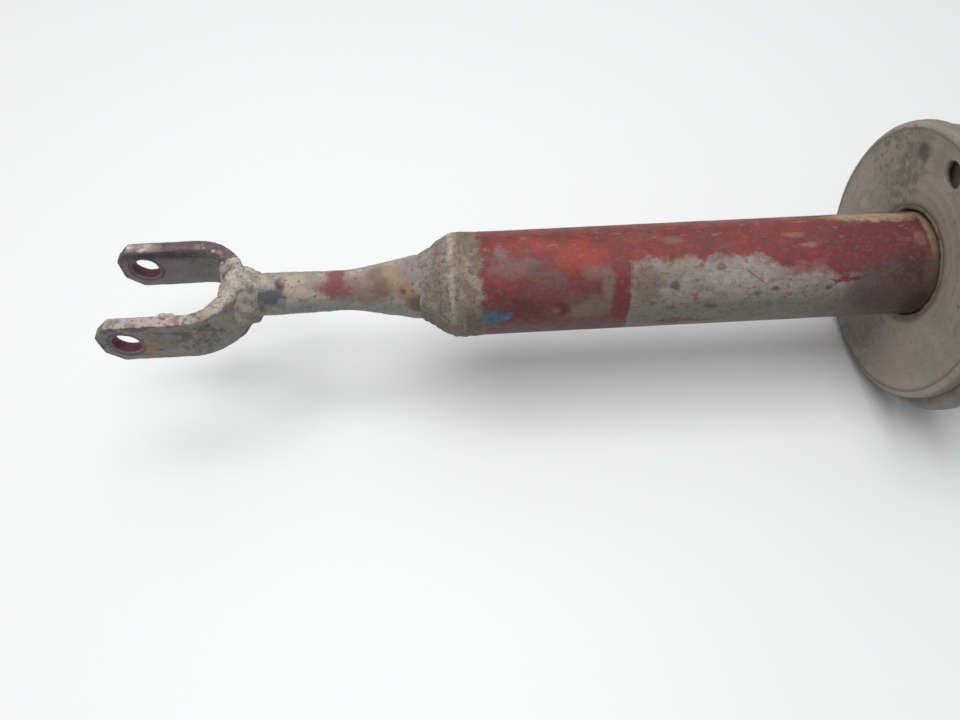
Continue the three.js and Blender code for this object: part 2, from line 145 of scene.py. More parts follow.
class Finish:
    """One node material, laid on in layers. Each layer has a share of 0 to 1 that says where it is."""

    def __init__(self, name, colour, roughness, metallic=0.0):
        self.material = bpy.data.materials.new(name)
        self.material.use_nodes = True
        self.nodes = self.material.node_tree.nodes
        self.links = self.material.node_tree.links
        self.shader = self.nodes["Principled BSDF"]
        self.shader.inputs["Metallic"].default_value = metallic
        self.shader.inputs["Specular IOR Level"].default_value = 0.35
        self.colour = srgb(colour)
        self.fields = {}
        self.unrolled = {}
        self.roughness = roughness
        self.height = 0.0
        place = self.node("TexCoord").outputs["Object"]
        scale = (1 / MM,) * 3
        self.point = self.vector("MULTIPLY_ADD", place, scale, tuple(-ORIGIN / MM))
        self.x, self.y, self.z = self.node("SeparateXYZ", self.point).outputs

    def put(self, value, socket):
        """Links an output to a socket, or sets the socket's own value."""
        if isinstance(value, bpy.types.NodeSocket):
            self.links.new(value, socket)
        else:
            socket.default_value = value

    def node(self, kind, *values, **settings):
        """A shader node with its first sockets filled and its settings made."""
        made = self.nodes.new("ShaderNode" + kind)
        for key, value in settings.items():
            setattr(made, key, value)
        for socket, value in zip(made.inputs, values):
            self.put(value, socket)
        return made

    def vector(self, operation, *values):
        return self.node("VectorMath", *values, operation=operation).outputs[0]

    def math(self, operation, *values):
        return self.node("Math", *values, operation=operation).outputs[0]

    def times(self, *shares):
        """The product of shares. A tuple stands for clouds() with those settings."""
        ready = [self.clouds(*share) if isinstance(share, tuple) else share for share in shares]
        product = ready[0]
        for share in ready[1:]:
            product = self.math("MULTIPLY", product, share)
        return product

    def mask(self, value, start, end):
        """0 at start and 1 at end, with a smooth step between them. The start may be the larger."""
        return self.node("MapRange", value, start, end, interpolation_type="SMOOTHSTEP").outputs[0]

    def between(self, value, low, high, soft):
        """1 from low to high, fading over soft on each side."""
        rise = self.mask(value, low - soft, low + soft)
        return self.times(rise, self.mask(value, high + soft, high - soft))

    def angle(self):
        """Degrees round the strut's axis, without a seam within 180 degrees of FACING."""
        side, up = math.cos(math.radians(FACING)), math.sin(math.radians(FACING))
        along, across = (
            self.node("VectorMath", self.point, way, operation="DOT_PRODUCT").outputs["Value"]
            for way in ((0, side, up), (0, -up, side))
        )
        turn = self.math("ARCTAN2", across, along)
        return self.math("MULTIPLY_ADD", turn, math.degrees(1), FACING)

    def radius(self):
        """Millimetres from the strut's axis."""
        return self.length(self.vector("MULTIPLY", self.point, (0, 1, 1)))

    def length(self, place):
        return self.node("VectorMath", place, operation="LENGTH").outputs["Value"]

    def field(self, stretch, seed):
        """Stretched coordinates for textures, in one of four places. Layers share them."""
        key = (stretch, seed % 4)
        if key not in self.fields:
            shift = tuple(37.0 * key[1] * s + 11.0 for s in stretch)
            self.fields[key] = self.vector("MULTIPLY_ADD", self.point, stretch, shift)
        return self.fields[key]

    def noise(self, size, seed, detail=4, rough=0.55, stretch=(1, 1, 1), output=0):
        """Cloudy noise about 0.5, with clouds about size millimetres across before stretching."""
        made = self.node("TexNoise")
        self.put(self.field(stretch, seed), made.inputs["Vector"])
        made.inputs["Scale"].default_value = 1 / size
        made.inputs["Detail"].default_value = detail
        made.inputs["Roughness"].default_value = rough
        return made.outputs[output]

    def clouds(self, size, low, high, seed, stretch=(1, 1, 1)):
        """Noise turned into patches: 0 below low and 1 above high."""
        return self.mask(self.noise(size, stretch=stretch, seed=seed), low, high)

    def dots(self, size, dot, share, seed):
        """Round dots up to dot cells wide in that share of the cells, which are size millimetres."""
        cells = self.node("TexVoronoi")
        self.put(self.field((1, 1, 1), seed), cells.inputs["Vector"])
        cells.inputs["Scale"].default_value = 1 / size
        chance = self.node("SeparateColor", cells.outputs["Color"]).outputs[0]
        kept = self.mask(chance, share + 0.02, share - 0.02)
        return self.times(self.mask(cells.outputs["Distance"], dot * 1.1, dot * 0.7), kept)

    def wrapped(self, torn):
        """The surface unrolled as (x, degrees, 0) and torn by noise, so that patches have ragged edges."""
        if torn not in self.unrolled:
            flat = self.node("CombineXYZ", self.x, self.turn).outputs[0]
            rough = self.noise(1.6 * torn, detail=5, rough=0.68, seed=torn, output=1)
            centred = self.vector("SUBTRACT", rough, (0.5, 0.5, 0.5))
            reach = (4 * torn, 8 * torn, 0)
            self.unrolled[torn] = self.vector("MULTIPLY_ADD", centred, reach, flat)
        return self.unrolled[torn]

    def spot(self, x, angle, half_x, half_angle, soft=0.4, strength=1.0):
        """An oval patch on a round surface, at x and at an angle round the axis."""
        torn = 4 if half_x > 6.5 else 1
        scale = (1 / half_x, 1 / half_angle, 0)
        shift = (-x / half_x, -angle / half_angle, 0)
        place = self.vector("MULTIPLY_ADD", self.wrapped(torn), scale, shift)
        limits = (1 + soft, 1 - soft, 0.0, strength)
        return self.node(
            "MapRange", self.length(place), *limits, interpolation_type="SMOOTHSTEP").outputs[0]

    def stains(self, marks):
        """Lays on soft ragged patches: [x, angle, half length, half angle, colour, strength]."""
        for x, angle, half_x, half_angle, colour, strength in marks:
            self.paint(colour, 1, self.spot(x, angle, half_x, half_angle, strength=strength))

    def blob(self, centre, half, seed, soft=0.35, fray=1.2):
        """A rounded patch about a point, with its half lengths along x, y and z."""
        scale = tuple(1 / h for h in half)
        shift = tuple(-c / h for c, h in zip(centre, half))
        place = self.vector("MULTIPLY_ADD", self.point, scale, shift)
        edge = self.noise(4, detail=5, rough=0.66, seed=seed)
        reach = self.math("MULTIPLY_ADD", edge, 2 * fray, self.length(place))
        return self.mask(reach, 1 + fray + soft, 1 + fray - soft)

    def paint(self, colour, strength, *shares):
        """Lays a colour over what is there, where all the shares are."""
        share = self.times(*shares)
        mix = self.node("Mix", data_type="RGBA")
        self.put(self.times(share, strength) if strength != 1 else share, mix.inputs[0])
        self.put(self.colour, mix.inputs[6])
        self.put(srgb(colour), mix.inputs[7])
        self.colour = mix.outputs[2]

    def polish(self, share, roughness):
        """Moves the roughness towards a new value."""
        mix = self.node("Mix", data_type="FLOAT")
        self.put(self.times(share), mix.inputs[0])
        self.put(self.roughness, mix.inputs[2])
        self.put(roughness, mix.inputs[3])
        self.roughness = mix.outputs[0]

    def raise_by(self, share, height):
        """Adds relief, in millimetres."""
        self.height = self.math("MULTIPLY_ADD", self.times(share), height, self.height)

    def done(self):
        """Joins the layers to the shader and returns the material."""
        self.put(self.colour, self.shader.inputs["Base Color"])
        self.put(self.roughness, self.shader.inputs["Roughness"])
        if isinstance(self.height, bpy.types.NodeSocket):
            bump = self.node("Bump")
            bump.inputs["Strength"].default_value = 1.0
            bump.inputs["Distance"].default_value = MM
            self.put(self.height, bump.inputs["Height"])
            self.put(bump.outputs[0], self.shader.inputs["Normal"])
        return self.material


def fork_finish():
    """Purple-grey scaled steel with worn pale edges, maroon bolt holes and rust."""
    f = Finish("fork_steel", "787172", 0.7)
    far_side = f.mask(f.y, -2, 2)
    near_side = f.mask(f.y, 2, -2)
    outer_faces = f.mask(f.math("ABSOLUTE", f.y), 24.6, 25.8)
    f.paint("82837c", 0.75, near_side, f.mask(f.x, -6, 12))
    f.paint("6a6b66", 0.75, (12, 0.4, 0.62, 1))
    f.paint("8a8280", 0.65, (7, 0.48, 0.66, 2, (0.3, 1, 1)))
    f.paint("4e464a", 0.7, (5, 0.52, 0.62, 3, (0.22, 1, 1.2)))
    f.paint("3e3436", 0.6, (2.2, 0.57, 0.66, 0))
    f.paint("70545c", 0.7, f.blob((-2, 22, -2), (12, 6, 9), 1, soft=0.8))
    under_edge = f.times(far_side, f.between(f.z, 6.5, 11.2, 1.6), f.mask(f.x, 40, 26))
    f.paint("3e3232", 0.7, under_edge, (5, 0.3, 0.5, 0, (0.4, 1, 1)))
    # Painted fill light: a lighter tone on the lower part of the far arm, whose inner face lies in shade.
    f.paint("827c7a", 0.45, far_side, f.mask(f.z, 7, 2))
    rust = f.blob((11, -26, -2), (6, 4, 7), 1, soft=0.6)
    f.paint("926c4e", 0.85, rust, (4, 0.36, 0.6, 2))
    f.paint("687058", 0.7, f.blob((14, -26, 1), (3, 4, 4), 1, soft=0.6))
    scabs = f.blob((36, -22, -1), (12, 14, 9), 3)
    f.paint("585251", 0.75, scabs, (3.2, 0.47, 0.56, 0))
    f.paint("928880", 0.6, outer_faces, near_side, (2.6, 0.54, 0.64, 1))
    f.paint("8a887e", 0.85, f.mask(f.x, 36, 48), f.mask(f.y, 12, 4), (5, 0.36, 0.54, 2))
    f.paint("967c6c", 0.5, f.mask(f.x, 40, 46), (3, 0.54, 0.62, 3))
    bolt = f.math("SQRT", f.math("MULTIPLY_ADD", f.x, f.x, f.times(f.z, f.z)))
    f.paint("5c5258", 0.7, f.mask(bolt, 9.9, 7.9))
    f.paint("423a3e", 0.75, f.between(bolt, 8.0, 8.8, 0.5), (5, 0.35, 0.5, 2))
    f.paint("6a3a46", 0.9, f.mask(bolt, 6.9, 6.5))
    # Painted highlight: a pale ring on the lower edge of each bolt hole.
    f.paint("968686", 0.6, f.between(bolt, 6.7, 7.3, 0.3), f.mask(f.z, -2, -5))
    top = f.mask(f.z, 11.9, 12.5)
    worn = f.clouds(4, 0.34, 0.54, 2, (0.5, 1, 1))
    f.paint("605056", 0.85, top, far_side)
    f.paint("c8beb4", 1, top, far_side, worn, f.mask(f.x, 12, 0))
    f.paint("8c7c7e", 0.7, top, far_side, (5, 0.52, 0.62, 2))
    f.paint("acaba4", 0.8, top, near_side)
    f.paint("b09c98", 0.85, top, near_side, f.between(f.x, 8, 32, 5))
    f.paint("9e907e", 0.85, top, f.mask(f.x, 30, 40), f.mask(f.y, 14, 8))
    f.paint("866860", 0.75, top, near_side, (4, 0.5, 0.62, 3))
    f.paint("624238", 0.75, top, f.between(f.x, 28, 46, 3), (3, 0.5, 0.6, 1))
    rim = f.times(near_side, f.mask(f.math("ABSOLUTE", f.y), 26.0, 26.5), f.between(f.z, 11.6, 12.6, 0.4))
    f.paint("683e3a", 0.85, rim, (4, 0.44, 0.56, 3))
    f.paint("544242", 0.7, top, (1.8, 0.6, 0.66, 0))
    tips = f.mask(f.x, -10.2, -12.0)
    f.paint("322a2a", 0.8, tips, (4, 0.4, 0.5, 1))
    f.raise_by(f.noise(1.2, detail=5, seed=2), 0.28)
    f.raise_by((2.4, 0.55, 0.66, 3), -0.22)
    f.polish((6, 0.4, 0.65, 0), 0.5)
    return f.done()


def weld_finish():
    """Pale crusted weld with grey and rusty parts."""
    f = Finish("weld_crust", "b6ada0", 0.85)
    f.paint("9e978f", 0.85, (9, 0.42, 0.6, 1))
    f.paint("c0b8a6", 0.75, (5, 0.5, 0.62, 2))
    f.paint("7a7068", 0.75, (3.4, 0.52, 0.64, 3))
    f.paint("aa8260", 0.6, f.blob((46, -6, 6), (5, 10, 7), 0, soft=0.6))
    f.paint("7c787c", 0.6, f.blob((60, -10, 6), (6, 8, 8), 1, soft=0.6))
    f.paint("584234", 0.85, f.blob((47.5, 4, 6), (3.5, 4.5, 9), 0, soft=0.5))
    f.paint("6c6a62", 0.65, f.mask(f.z, 4, -10))
    f.paint("7e7e76", 0.75, f.mask(f.x, 50, 57), (4, 0.4, 0.58, 2))
    f.paint("544842", 0.7, (1.6, 0.58, 0.66, 2))
    f.raise_by(f.noise(1.4, detail=5, rough=0.65, seed=3), 0.45)
    f.raise_by((2.6, 0.58, 0.68, 0), -0.25)
    return f.done()


NECK_MARKS = [  # x, angle, half length, half angle, colour, strength
    [121, 118, 12, 40, "8c766a", 0.75],
    [128, 100, 7, 26, "a68e70", 0.45],
    [112, 146, 12, 22, "76665c", 0.75],
    [66.5, 140, 7.0, 24, "4e4e58", 0.95],
    [60, 170, 4.5, 18, "5c5e62", 0.85],
    [72.1, 104, 2.4, 19, "543e4a", 0.95],
    [86, 96, 6, 18, "8e8c82", 0.75],
    [78, 92, 6, 18, "b6a894", 0.6],
    [80, 128, 6, 18, "b0988a", 0.5],
    [99, 80, 4.4, 40, "7c484e", 0.9],
    [99.5, 124, 9.6, 26, "7a484d", 0.95],
    [108, 112, 5, 26, "8e706a", 0.75],
    [118, 96, 4, 22, "7c6056", 0.7],
    [122, 128, 5, 20, "74584c", 0.75],
    [127, 120, 3, 12, "968068", 0.6],
    [137, 98, 8, 30, "817478", 0.75],
    [133, 138, 5, 17, "8e7056", 0.8],
    [131.5, 138, 1.4, 6, "543c34", 0.8],
    [139, 162, 6, 18, "604a3c", 0.85],
]


def neck_finish():
    """Swaged neck: scuffed beige paint and scale, with maroon, purple and rusty patches."""
    f = Finish("neck_scale", "a0968c", 0.75)
    f.turn = f.angle()
    f.paint("968f88", 0.8, (12, 0.42, 0.6, 3, (0.6, 1, 1)))
    f.paint("b2a898", 0.65, (5, 0.5, 0.64, 0, (0.5, 1, 1)))
    f.paint("847870", 0.6, (3.6, 0.53, 0.64, 1, (0.6, 1, 1)))
    # Painted shade: a darker, greyer tone towards the lower side.
    f.paint("84857e", 0.8, f.mask(f.turn, 136, 172))
    f.paint("786a62", 0.5, (2.4, 0.52, 0.62, 0))
    f.stains(NECK_MARKS)
    f.paint("60504c", 0.7, f.dots(3.4, 0.24, 0.2, 1))
    f.paint("665a54", 0.55, (1.4, 0.58, 0.68, 2))
    f.raise_by(f.noise(1.6, detail=5, rough=0.62, seed=3), 0.36)
    f.raise_by((3, 0.56, 0.66, 0), -0.2)
    f.polish((8, 0.45, 0.6, 1), 0.6)
    return f.done()


def crust_finish():
    """The rusty, dirt-crusted shoulder of the body and its weld."""
    f = Finish("shoulder_crust", "988e83", 0.9)
    f.turn = f.angle()
    f.paint("8a827a", 0.9, (8, 0.42, 0.58, 3))
    f.paint("aaa08e", 0.7, (4, 0.5, 0.62, 0, (1.6, 1, 1)))
    f.paint("9c9494", 0.85, f.mask(f.x, 156, 147), (7, 0.36, 0.6, 1))
    f.paint("887a76", 0.7, f.mask(f.x, 145, 140), (4, 0.4, 0.6, 0))
    f.paint("bcb39e", 0.6, f.between(f.x, 153.6, 156.0, 0.9))
    # Painted shade: darker towards the lower side.
    f.paint("706c62", 0.75, f.mask(f.turn, 146, 190))
    f.paint("645a52", 0.6, (1.7, 0.55, 0.66, 3, (0.7, 1, 1)))
    f.paint("7a6c5e", 0.6, (8, 0.36, 0.6, 1))
    f.paint("827462", 0.7, f.mask(f.x, 156, 159))
    f.paint("68605a", 0.55, f.between(f.x, 147, 153, 1.5), (2.4, 0.5, 0.6, 2, (0.7, 1, 1)))
    f.paint("544a42", 0.6, (3.0, 0.6, 0.68, 0))
    f.paint("967254", 0.6, (5, 0.62, 0.7, 1))
    f.raise_by(f.noise(1.1, detail=6, rough=0.68, seed=2), 0.6)
    f.raise_by((2.0, 0.56, 0.66, 3), -0.35)
    return f.done()


TUBE_MARKS = [  # x, angle, half length, half angle, colour, strength
    [216, 104, 12, 20, "9e3c30", 0.7],
    [192, 88, 14, 12, "9c3e36", 0.6],
    [184, 115, 10, 11, "765652", 0.85],
    [200, 131, 8, 15, "684c4e", 0.9],
    [195, 142, 10, 10, "703e3e", 0.7],
    [188, 162, 9, 15, "5c2a2a", 0.8],
    [218, 163, 11, 14, "706256", 0.9],
    [207, 163, 3.6, 8, "4e2226", 0.85],
    [203.5, 165, 2, 4, "96625e", 0.5],
    [212, 150, 8, 8, "6a4846", 0.7],
    [228.3, 143, 3.2, 24, "746458", 0.9],
    [222, 124, 6, 8, "80625e", 0.6],
    [178.5, 98, 3.5, 7, "7c625e", 0.8],
    [190.5, 94, 3, 9, "6a423e", 0.7],
    [193, 118, 3, 7, "584c48", 0.8],
    [260, 91, 4.5, 6, "7a6252", 0.75],
    [275, 104, 8, 6, "6e3432", 0.6],
    [245, 84, 14, 9, "80483e", 0.6],
    [318, 92, 5, 4, "866c5a", 0.6],
    [324, 105, 4, 3, "967062", 0.6],
    [332, 100, 4, 4, "704e42", 0.7],
    [234.6, 160, 4.4, 34, "702e30", 0.95],
]

BARE_SIDE_MARKS = [
    [246, 140, 7, 22, "706456", 0.85],
    [262, 125, 9, 9, "827a68", 0.6],
    [290, 135, 16, 12, "9e9894", 0.6],
    [259.3, 142, 2.4, 4.5, "544c4c", 0.9],
    [281, 125, 2.6, 4, "645c5a", 0.85],
    [307.5, 151, 2, 2.5, "584c4c", 0.85],
    [298.8, 155, 2, 2.5, "5c5050", 0.8],
    [277.5, 169, 3.4, 3, "564648", 0.85],
    [258, 168, 3, 3, "5c504e", 0.8],
    [332.9, 153, 1.6, 2.5, "583c3e", 0.85],
    [342, 144, 9.5, 3.0, "782e30", 0.95],
    [356.4, 134, 3.2, 5, "4c2a2e", 0.9],
    [322, 130, 10, 7, "8c5454", 0.7],
    [350, 128, 14, 7, "803e42", 0.8],
    [266, 192, 14, 5, "683236", 0.8],
]

SEAT_END_MARKS = [
    [354, 100, 24, 17, "662628", 0.75],
    [360, 158, 16, 30, "4e4241", 0.8],
    [372, 148, 8, 30, "483030", 0.9],
    [370, 172, 12, 24, "544844", 0.7],
    [382, 140, 4, 26, "62523e", 0.85],
    [356, 62, 18, 11, "a48e70", 0.9],
    [370, 66, 12, 9, "9c886e", 0.8],
    [383, 92, 2.2, 34, "96846c", 0.85],
    [377, 104, 3, 9, "8c685c", 0.5],
    # Painted shade: the mark below darkens the tube low down next to the seat.
    [381, 190, 8, 28, "3c322e", 0.85],
]


def tube_bare_side(f):
    """The side that is worn through to grey primer, with a ragged upper border."""
    border = f.noise(8, detail=6, rough=0.7, seed=0)
    step = f.math("MULTIPLY_ADD", f.mask(f.x, 298, 313), 15, 115)
    step = f.math("MULTIPLY_ADD", f.times(f.mask(f.x, 328, 336), f.mask(f.x, 354, 346)), 9, step)
    reach = f.math("SUBTRACT", f.math("MULTIPLY_ADD", border, 34, f.turn), step)
    begin = f.math("MULTIPLY_ADD", border, 7, f.x)
    patch = f.times(f.mask(reach, 13, 23), f.mask(begin, 241.4, 244.2), f.mask(f.x, 378, 362))
    f.paint("948e8a", 1, patch)
    f.paint("847f79", 0.85, patch, (11, 0.4, 0.62, 1))
    f.paint("a29695", 0.6, patch, (5, 0.5, 0.64, 2, (0.5, 1, 1)))
    f.paint("7a726e", 0.55, patch, (3, 0.52, 0.66, 1, (0.4, 1, 1)))
    # Painted shade: the primer darkens towards the lower side.
    f.paint("6c6c63", 0.85, patch, f.mask(f.turn, 142, 176))
    near_border = f.times(patch, f.mask(reach, 36, 18))
    f.paint("9e7070", 0.7, near_border, (3.6, 0.48, 0.6, 0))
    f.paint("804e52", 0.75, patch, (4, 0.62, 0.67, 2))
    f.stains(BARE_SIDE_MARKS)
    slant = f.math("MULTIPLY_ADD", f.x, -1.75, f.turn)
    scratch = f.times(f.between(slant, -384.6, -382.9, 0.9), f.between(f.x, 293, 302, 0.8))
    f.paint("7c464e", 0.85, scratch)
    f.raise_by(patch, -0.1)
    f.polish(patch, 0.66)


def tube_crust(f):
    """Pale crust that runs from the shoulder on to the paint, with a ragged edge."""
    edge = f.math("MULTIPLY_ADD", f.noise(9, detail=6, rough=0.68, seed=3), 22, f.x)
    crust = f.mask(edge, 181.2, 177.8)
    f.paint("968975", 1, crust)
    f.paint("72675a", 0.8, crust, (5, 0.44, 0.6, 0))
    f.paint("705e52", 0.6, crust, f.mask(f.turn, 104, 84))
    f.paint("62584c", 0.75, crust, (1.8, 0.55, 0.64, 1))
    f.paint("966e62", 0.7, crust, (6, 0.55, 0.66, 2))
    # Painted shade: the crust darkens towards the lower side.
    f.paint("5c564c", 0.85, crust, f.mask(f.turn, 138, 180))
    f.raise_by(f.times(crust, f.noise(1.2, detail=5, rough=0.65, seed=2)), 0.7)
    f.polish(crust, 0.9)


def tube_finish():
    """Weathered red paint: dusty on top, with a lighter upper edge that is partly painted highlight,
    darkened below by painted shade, worn to grey along one side.
    """
    f = Finish("red_paint", "8c3632", 0.62)
    f.turn = f.angle()
    f.paint("842e2b", 0.9, (26, 0.4, 0.62, 0, (0.5, 1, 1)))
    f.paint("773b39", 0.75, (11, 0.44, 0.62, 1))
    f.paint("743936", 0.6, (5, 0.5, 0.62, 2, (0.6, 1, 1)))
    # Dust and painted highlight: a lighter, dusty pink along the upper edge.
    f.paint("8a635d", 0.6, f.mask(f.turn, 80, 50))
    # Painted shade: darker maroon towards the lower side, then grey-brown mixed with dirt mottling.
    f.paint("692e2f", 0.8, f.mask(f.turn, 118, 168))
    f.paint("694c47", 0.8, f.mask(f.turn, 112, 170), (9, 0.4, 0.58, 3))
    f.paint("685850", 0.8, f.mask(f.turn, 168, 192), (9, 0.26, 0.5, 0))
    f.paint("5c302e", 0.5, (6, 0.34, 0.6, 3))
    f.stains(TUBE_MARKS)
    tube_bare_side(f)
    f.paint("462a2a", 0.6, f.mask(f.x, 312, 372))
    f.stains(SEAT_END_MARKS)
    # Painted shade: dark, in the packed dirt's colour, where the tube goes into the seat.
    f.paint("5c5044", 0.8, f.mask(f.x, 381, 384.5))
    f.paint("684a46", 0.55, (2.6, 0.58, 0.66, 2))
    f.paint("563a36", 0.5, (1.5, 0.6, 0.68, 3))
    flecks = f.times((3, 0.6, 0.68, 0, (0.5, 1, 1)), f.between(f.turn, 45, 100, 18))
    f.paint("a88076", 0.4, flecks)
    f.paint("6e544c", 0.65, f.mask(f.turn, 50, 10), (16, 0.4, 0.62, 0))
    ragged = f.noise(3, detail=4, rough=0.7, seed=1)
    blue = f.mask(f.math("MULTIPLY_ADD", ragged, 1.3, f.spot(174, 170, 6.6, 9, soft=0.5)), 0.98, 1.16)
    f.paint("42627c", 1, blue)
    f.paint("364e64", 0.8, blue, (4, 0.45, 0.6, 2))
    tube_crust(f)
    f.paint("483834", 0.3, (2.2, 0.46, 0.66, 1, (0.6, 1, 1)))
    f.paint("96766e", 0.14, (1.6, 0.5, 0.7, 2, (0.7, 1, 1)))
    f.raise_by(f.noise(9, detail=3, seed=3), 0.35)
    f.raise_by(f.noise(0.9, detail=4, rough=0.65, seed=0), 0.14)
    f.polish((10, 0.4, 0.6, 1), 0.6)
    return f.done()


def seat_finish():
    """Dusty warm grey pressed steel with a dirt streak and faint pressing rings."""
    f = Finish("seat_dust", "9a9087", 0.72)
    far = f.radius()
    f.paint("8a8378", 0.8, (26, 0.42, 0.6, 1))
    f.paint("9e918a", 0.7, (12, 0.48, 0.64, 2))
    rings = f.math("SINE", f.times(far, PRESSING_RINGS))
    f.paint("827870", 0.25, f.mask(rings, 0.2, 1.0), (9, 0.4, 0.6, 3))
    streak = f.blob((383, 30, 30), (8, 9, 24), 0, fray=0.6)
    f.paint("666154", 0.7, streak, (5, 0.36, 0.6, 3))
    f.paint("6e685a", 0.7, f.blob((383, 44, 36), (9, 16, 22), 1), (4, 0.48, 0.6, 2))
    f.paint("706250", 0.8, f.mask(far, 32.5, 28.5))
    # Painted shadow: a darker patch on the seat below the tube.
    f.paint("6c6660", 0.6, f.blob((383, -2, -48), (9, 22, 16), 3))
    f.paint("988a82", 0.6, f.blob((383, -34, -44), (9, 22, 20), 0))
    # Painted shade: a dark thin line on the crest of the rolled rim.
    f.paint("5c5650", 0.6, f.mask(far, 63.5, 64.6), f.mask(far, 66, 65))
    f.paint("706a62", 0.7, f.mask(far, 67.4, 68.6))
    f.paint("524e48", 0.75, f.blob(DIMPLE, (8, 4.4, 4.4), 1, fray=0.25))
    f.paint("686056", 0.5, (2.2, 0.6, 0.68, 2))
    f.paint("585048", 0.7, f.dots(9, 0.1, 0.2, 3), f.mask(far, 30, 40))
    f.paint("a0968e", 0.4, (3, 0.62, 0.66, 0, (1, 0.2, 1.4)))
    f.raise_by(f.noise(1.4, detail=5, seed=1), 0.16)
    f.raise_by(f.mask(rings, 0.0, 1.0), 0.03)
    f.polish((10, 0.4, 0.62, 2), 0.58)
    return f.done()


def rubber_finish(name, colour, dust, dust_share, seed):
    """Moulded rubber, greyed by dust that lies thickest on its upper side."""
    f = Finish(name, colour, 0.8)
    f.paint(shade(colour, 1, 14), 0.7, (12, 0.4, 0.62, seed))
    f.paint(dust, dust_share, (8, 0.34, 0.6, seed + 1))
    f.paint(dust, dust_share, f.mask(f.z, -60, 50), (5, 0.42, 0.58, seed + 2))
    f.paint(shade(colour, 0.6), 0.6, f.dots(3, 0.2, 0.2, seed + 3))
    f.raise_by(f.noise(0.8, detail=4, seed=seed + 4), 0.12)
    f.polish((9, 0.45, 0.6, seed + 5), 0.62)
    return f.done()


def spring_finish():
    """Charcoal spring paint, chipped to rust and dusted."""
    f = Finish("spring_paint", "3a3938", 0.45)
    f.paint("464442", 0.8, (14, 0.42, 0.6, 1))
    f.paint("746e66", 0.45, (7, 0.46, 0.62, 2))
    chips = f.clouds(4.5, 0.6, 0.63, 3, (1, 0.7, 0.7))
    f.paint("5e4030", 0.85, chips)
    f.paint("4e2e22", 0.8, chips, (2, 0.5, 0.6, 0))
    f.paint("6c4e3c", 0.7, f.dots(4, 0.14, 0.18, 1))
    f.raise_by(chips, -0.15)
    f.raise_by(f.noise(1.5, detail=4, seed=2), 0.08)
    f.polish(chips, 0.9)
    return f.done()


def mount_finish():
    """Black-coated pressed steel of the upper mount, dusty and spotted with rust."""
    f = Finish("mount_steel", "5c5956", 0.6, 0.1)
    f.paint("767068", 0.7, (18, 0.42, 0.6, 3))
    f.paint("887e72", 0.6, (7, 0.5, 0.62, 0))
    f.paint("70503a", 0.7, (5, 0.58, 0.66, 1))
    f.paint("463228", 0.7, (2.4, 0.6, 0.66, 2))
    f.raise_by(f.noise(1.4, detail=5, seed=3), 0.16)
    f.polish((9, 0.45, 0.6, 0), 0.75)
    return f.done()


def metal_finish(name, colour, roughness, seed, stain="604a38", stained=0.5):
    """Turned metal with fine tool rings, handling marks and a little staining."""
    f = Finish(name, colour, roughness, 0.85)
    f.paint(shade(colour, 0.86), 0.8, (9, 0.42, 0.62, seed))
    f.paint(stain, stained, (4, 0.58, 0.66, seed + 1))
    f.paint(shade(colour, 0.6), 0.7, f.dots(3, 0.14, 0.2, seed + 2))
    f.raise_by(f.noise(0.5, detail=2, stretch=(1, 0.02, 0.02), seed=seed + 3), 0.02)
    f.polish((5, 0.4, 0.6, seed + 4), min(1.0, roughness + 0.16))
    return f.done()


def foam_finish():
    """Cellular polyurethane: ochre, with fine open pores."""
    f = Finish("bump_foam", "c4a868", 0.85)
    f.paint("ac9058", 0.8, (10, 0.4, 0.62, 3))
    pores = f.dots(1.1, 0.3, 0.6, 0)
    f.paint("78623a", 0.7, pores)
    f.paint("70624c", 0.5, (6, 0.56, 0.66, 1))
    f.raise_by(pores, -0.2)
    return f.done()


def plastic_finish():
    """Moulded black plastic with dust and scuffs."""
    f = Finish("black_plastic", "282829", 0.5)
    f.paint("3a3938", 0.8, (8, 0.42, 0.62, 1))
    f.paint("68625a", 0.6, (3, 0.6, 0.68, 2, (0.3, 1, 1)))
    f.raise_by(f.noise(0.6, detail=3, seed=3), 0.05)
    f.polish((5, 0.45, 0.6, 0), 0.68)
    return f.done()


def floor_finish():
    """White satin board with a faint unevenness."""
    f = Finish("white_board", "eeefef", 0.45)
    f.paint("e8e9ea", 1, f.noise(700, detail=0, seed=3))
    return f.done()


# ---- Meshes ----
def softened(profile, cut, closed):
    """The profile with its corners rounded off, up to cut millimetres along each side."""
    points = [Vector(point) for point in profile]
    soft = []
    for i, point in enumerate(points):
        before = points[i - 1] - point
        after = points[(i + 1) % len(points)] - point
        at_end = not closed and i in (0, len(points) - 1)
        if at_end or abs(before.angle(after) - math.pi) < 0.12:
            soft.append(point)
            continue
        start = point + before.normalized() * min(cut, before.length * 0.45)
        end = point + after.normalized() * min(cut, after.length * 0.45)
        for t in (0, 0.25, 0.5, 0.75, 1):
            soft.append(start * (1 - t) ** 2 + point * (2 * t * (1 - t)) + end * t * t)
    return soft


def dense(points, step, closed):
    """The same line with more points, so that none are further apart than step."""
    line = list(points) + (list(points[:1]) if closed else [])
    found = []
    for a, b in zip(line, line[1:]):
        count = max(1, math.ceil((b - a).length / step))
        found += [a.lerp(b, i / count) for i in range(count)]
    return found if closed else found + [line[-1]]


def make(name, points, faces):
    """A smooth mesh object from points in strut millimetres."""
    mesh = bpy.data.meshes.new(name)
    metres = np.asarray(points, float).reshape(-1, 3) * MM + np.array(ORIGIN)
    mesh.from_pydata(metres.tolist(), [], faces)
    shape = bmesh.new()
    shape.from_mesh(mesh)
    bmesh.ops.recalc_face_normals(shape, faces=shape.faces)
    shape.to_mesh(mesh)
    shape.free()
    mesh.shade_smooth()
    obj = bpy.data.objects.new(name, mesh)
    bpy.context.scene.collection.objects.link(obj)
    return obj


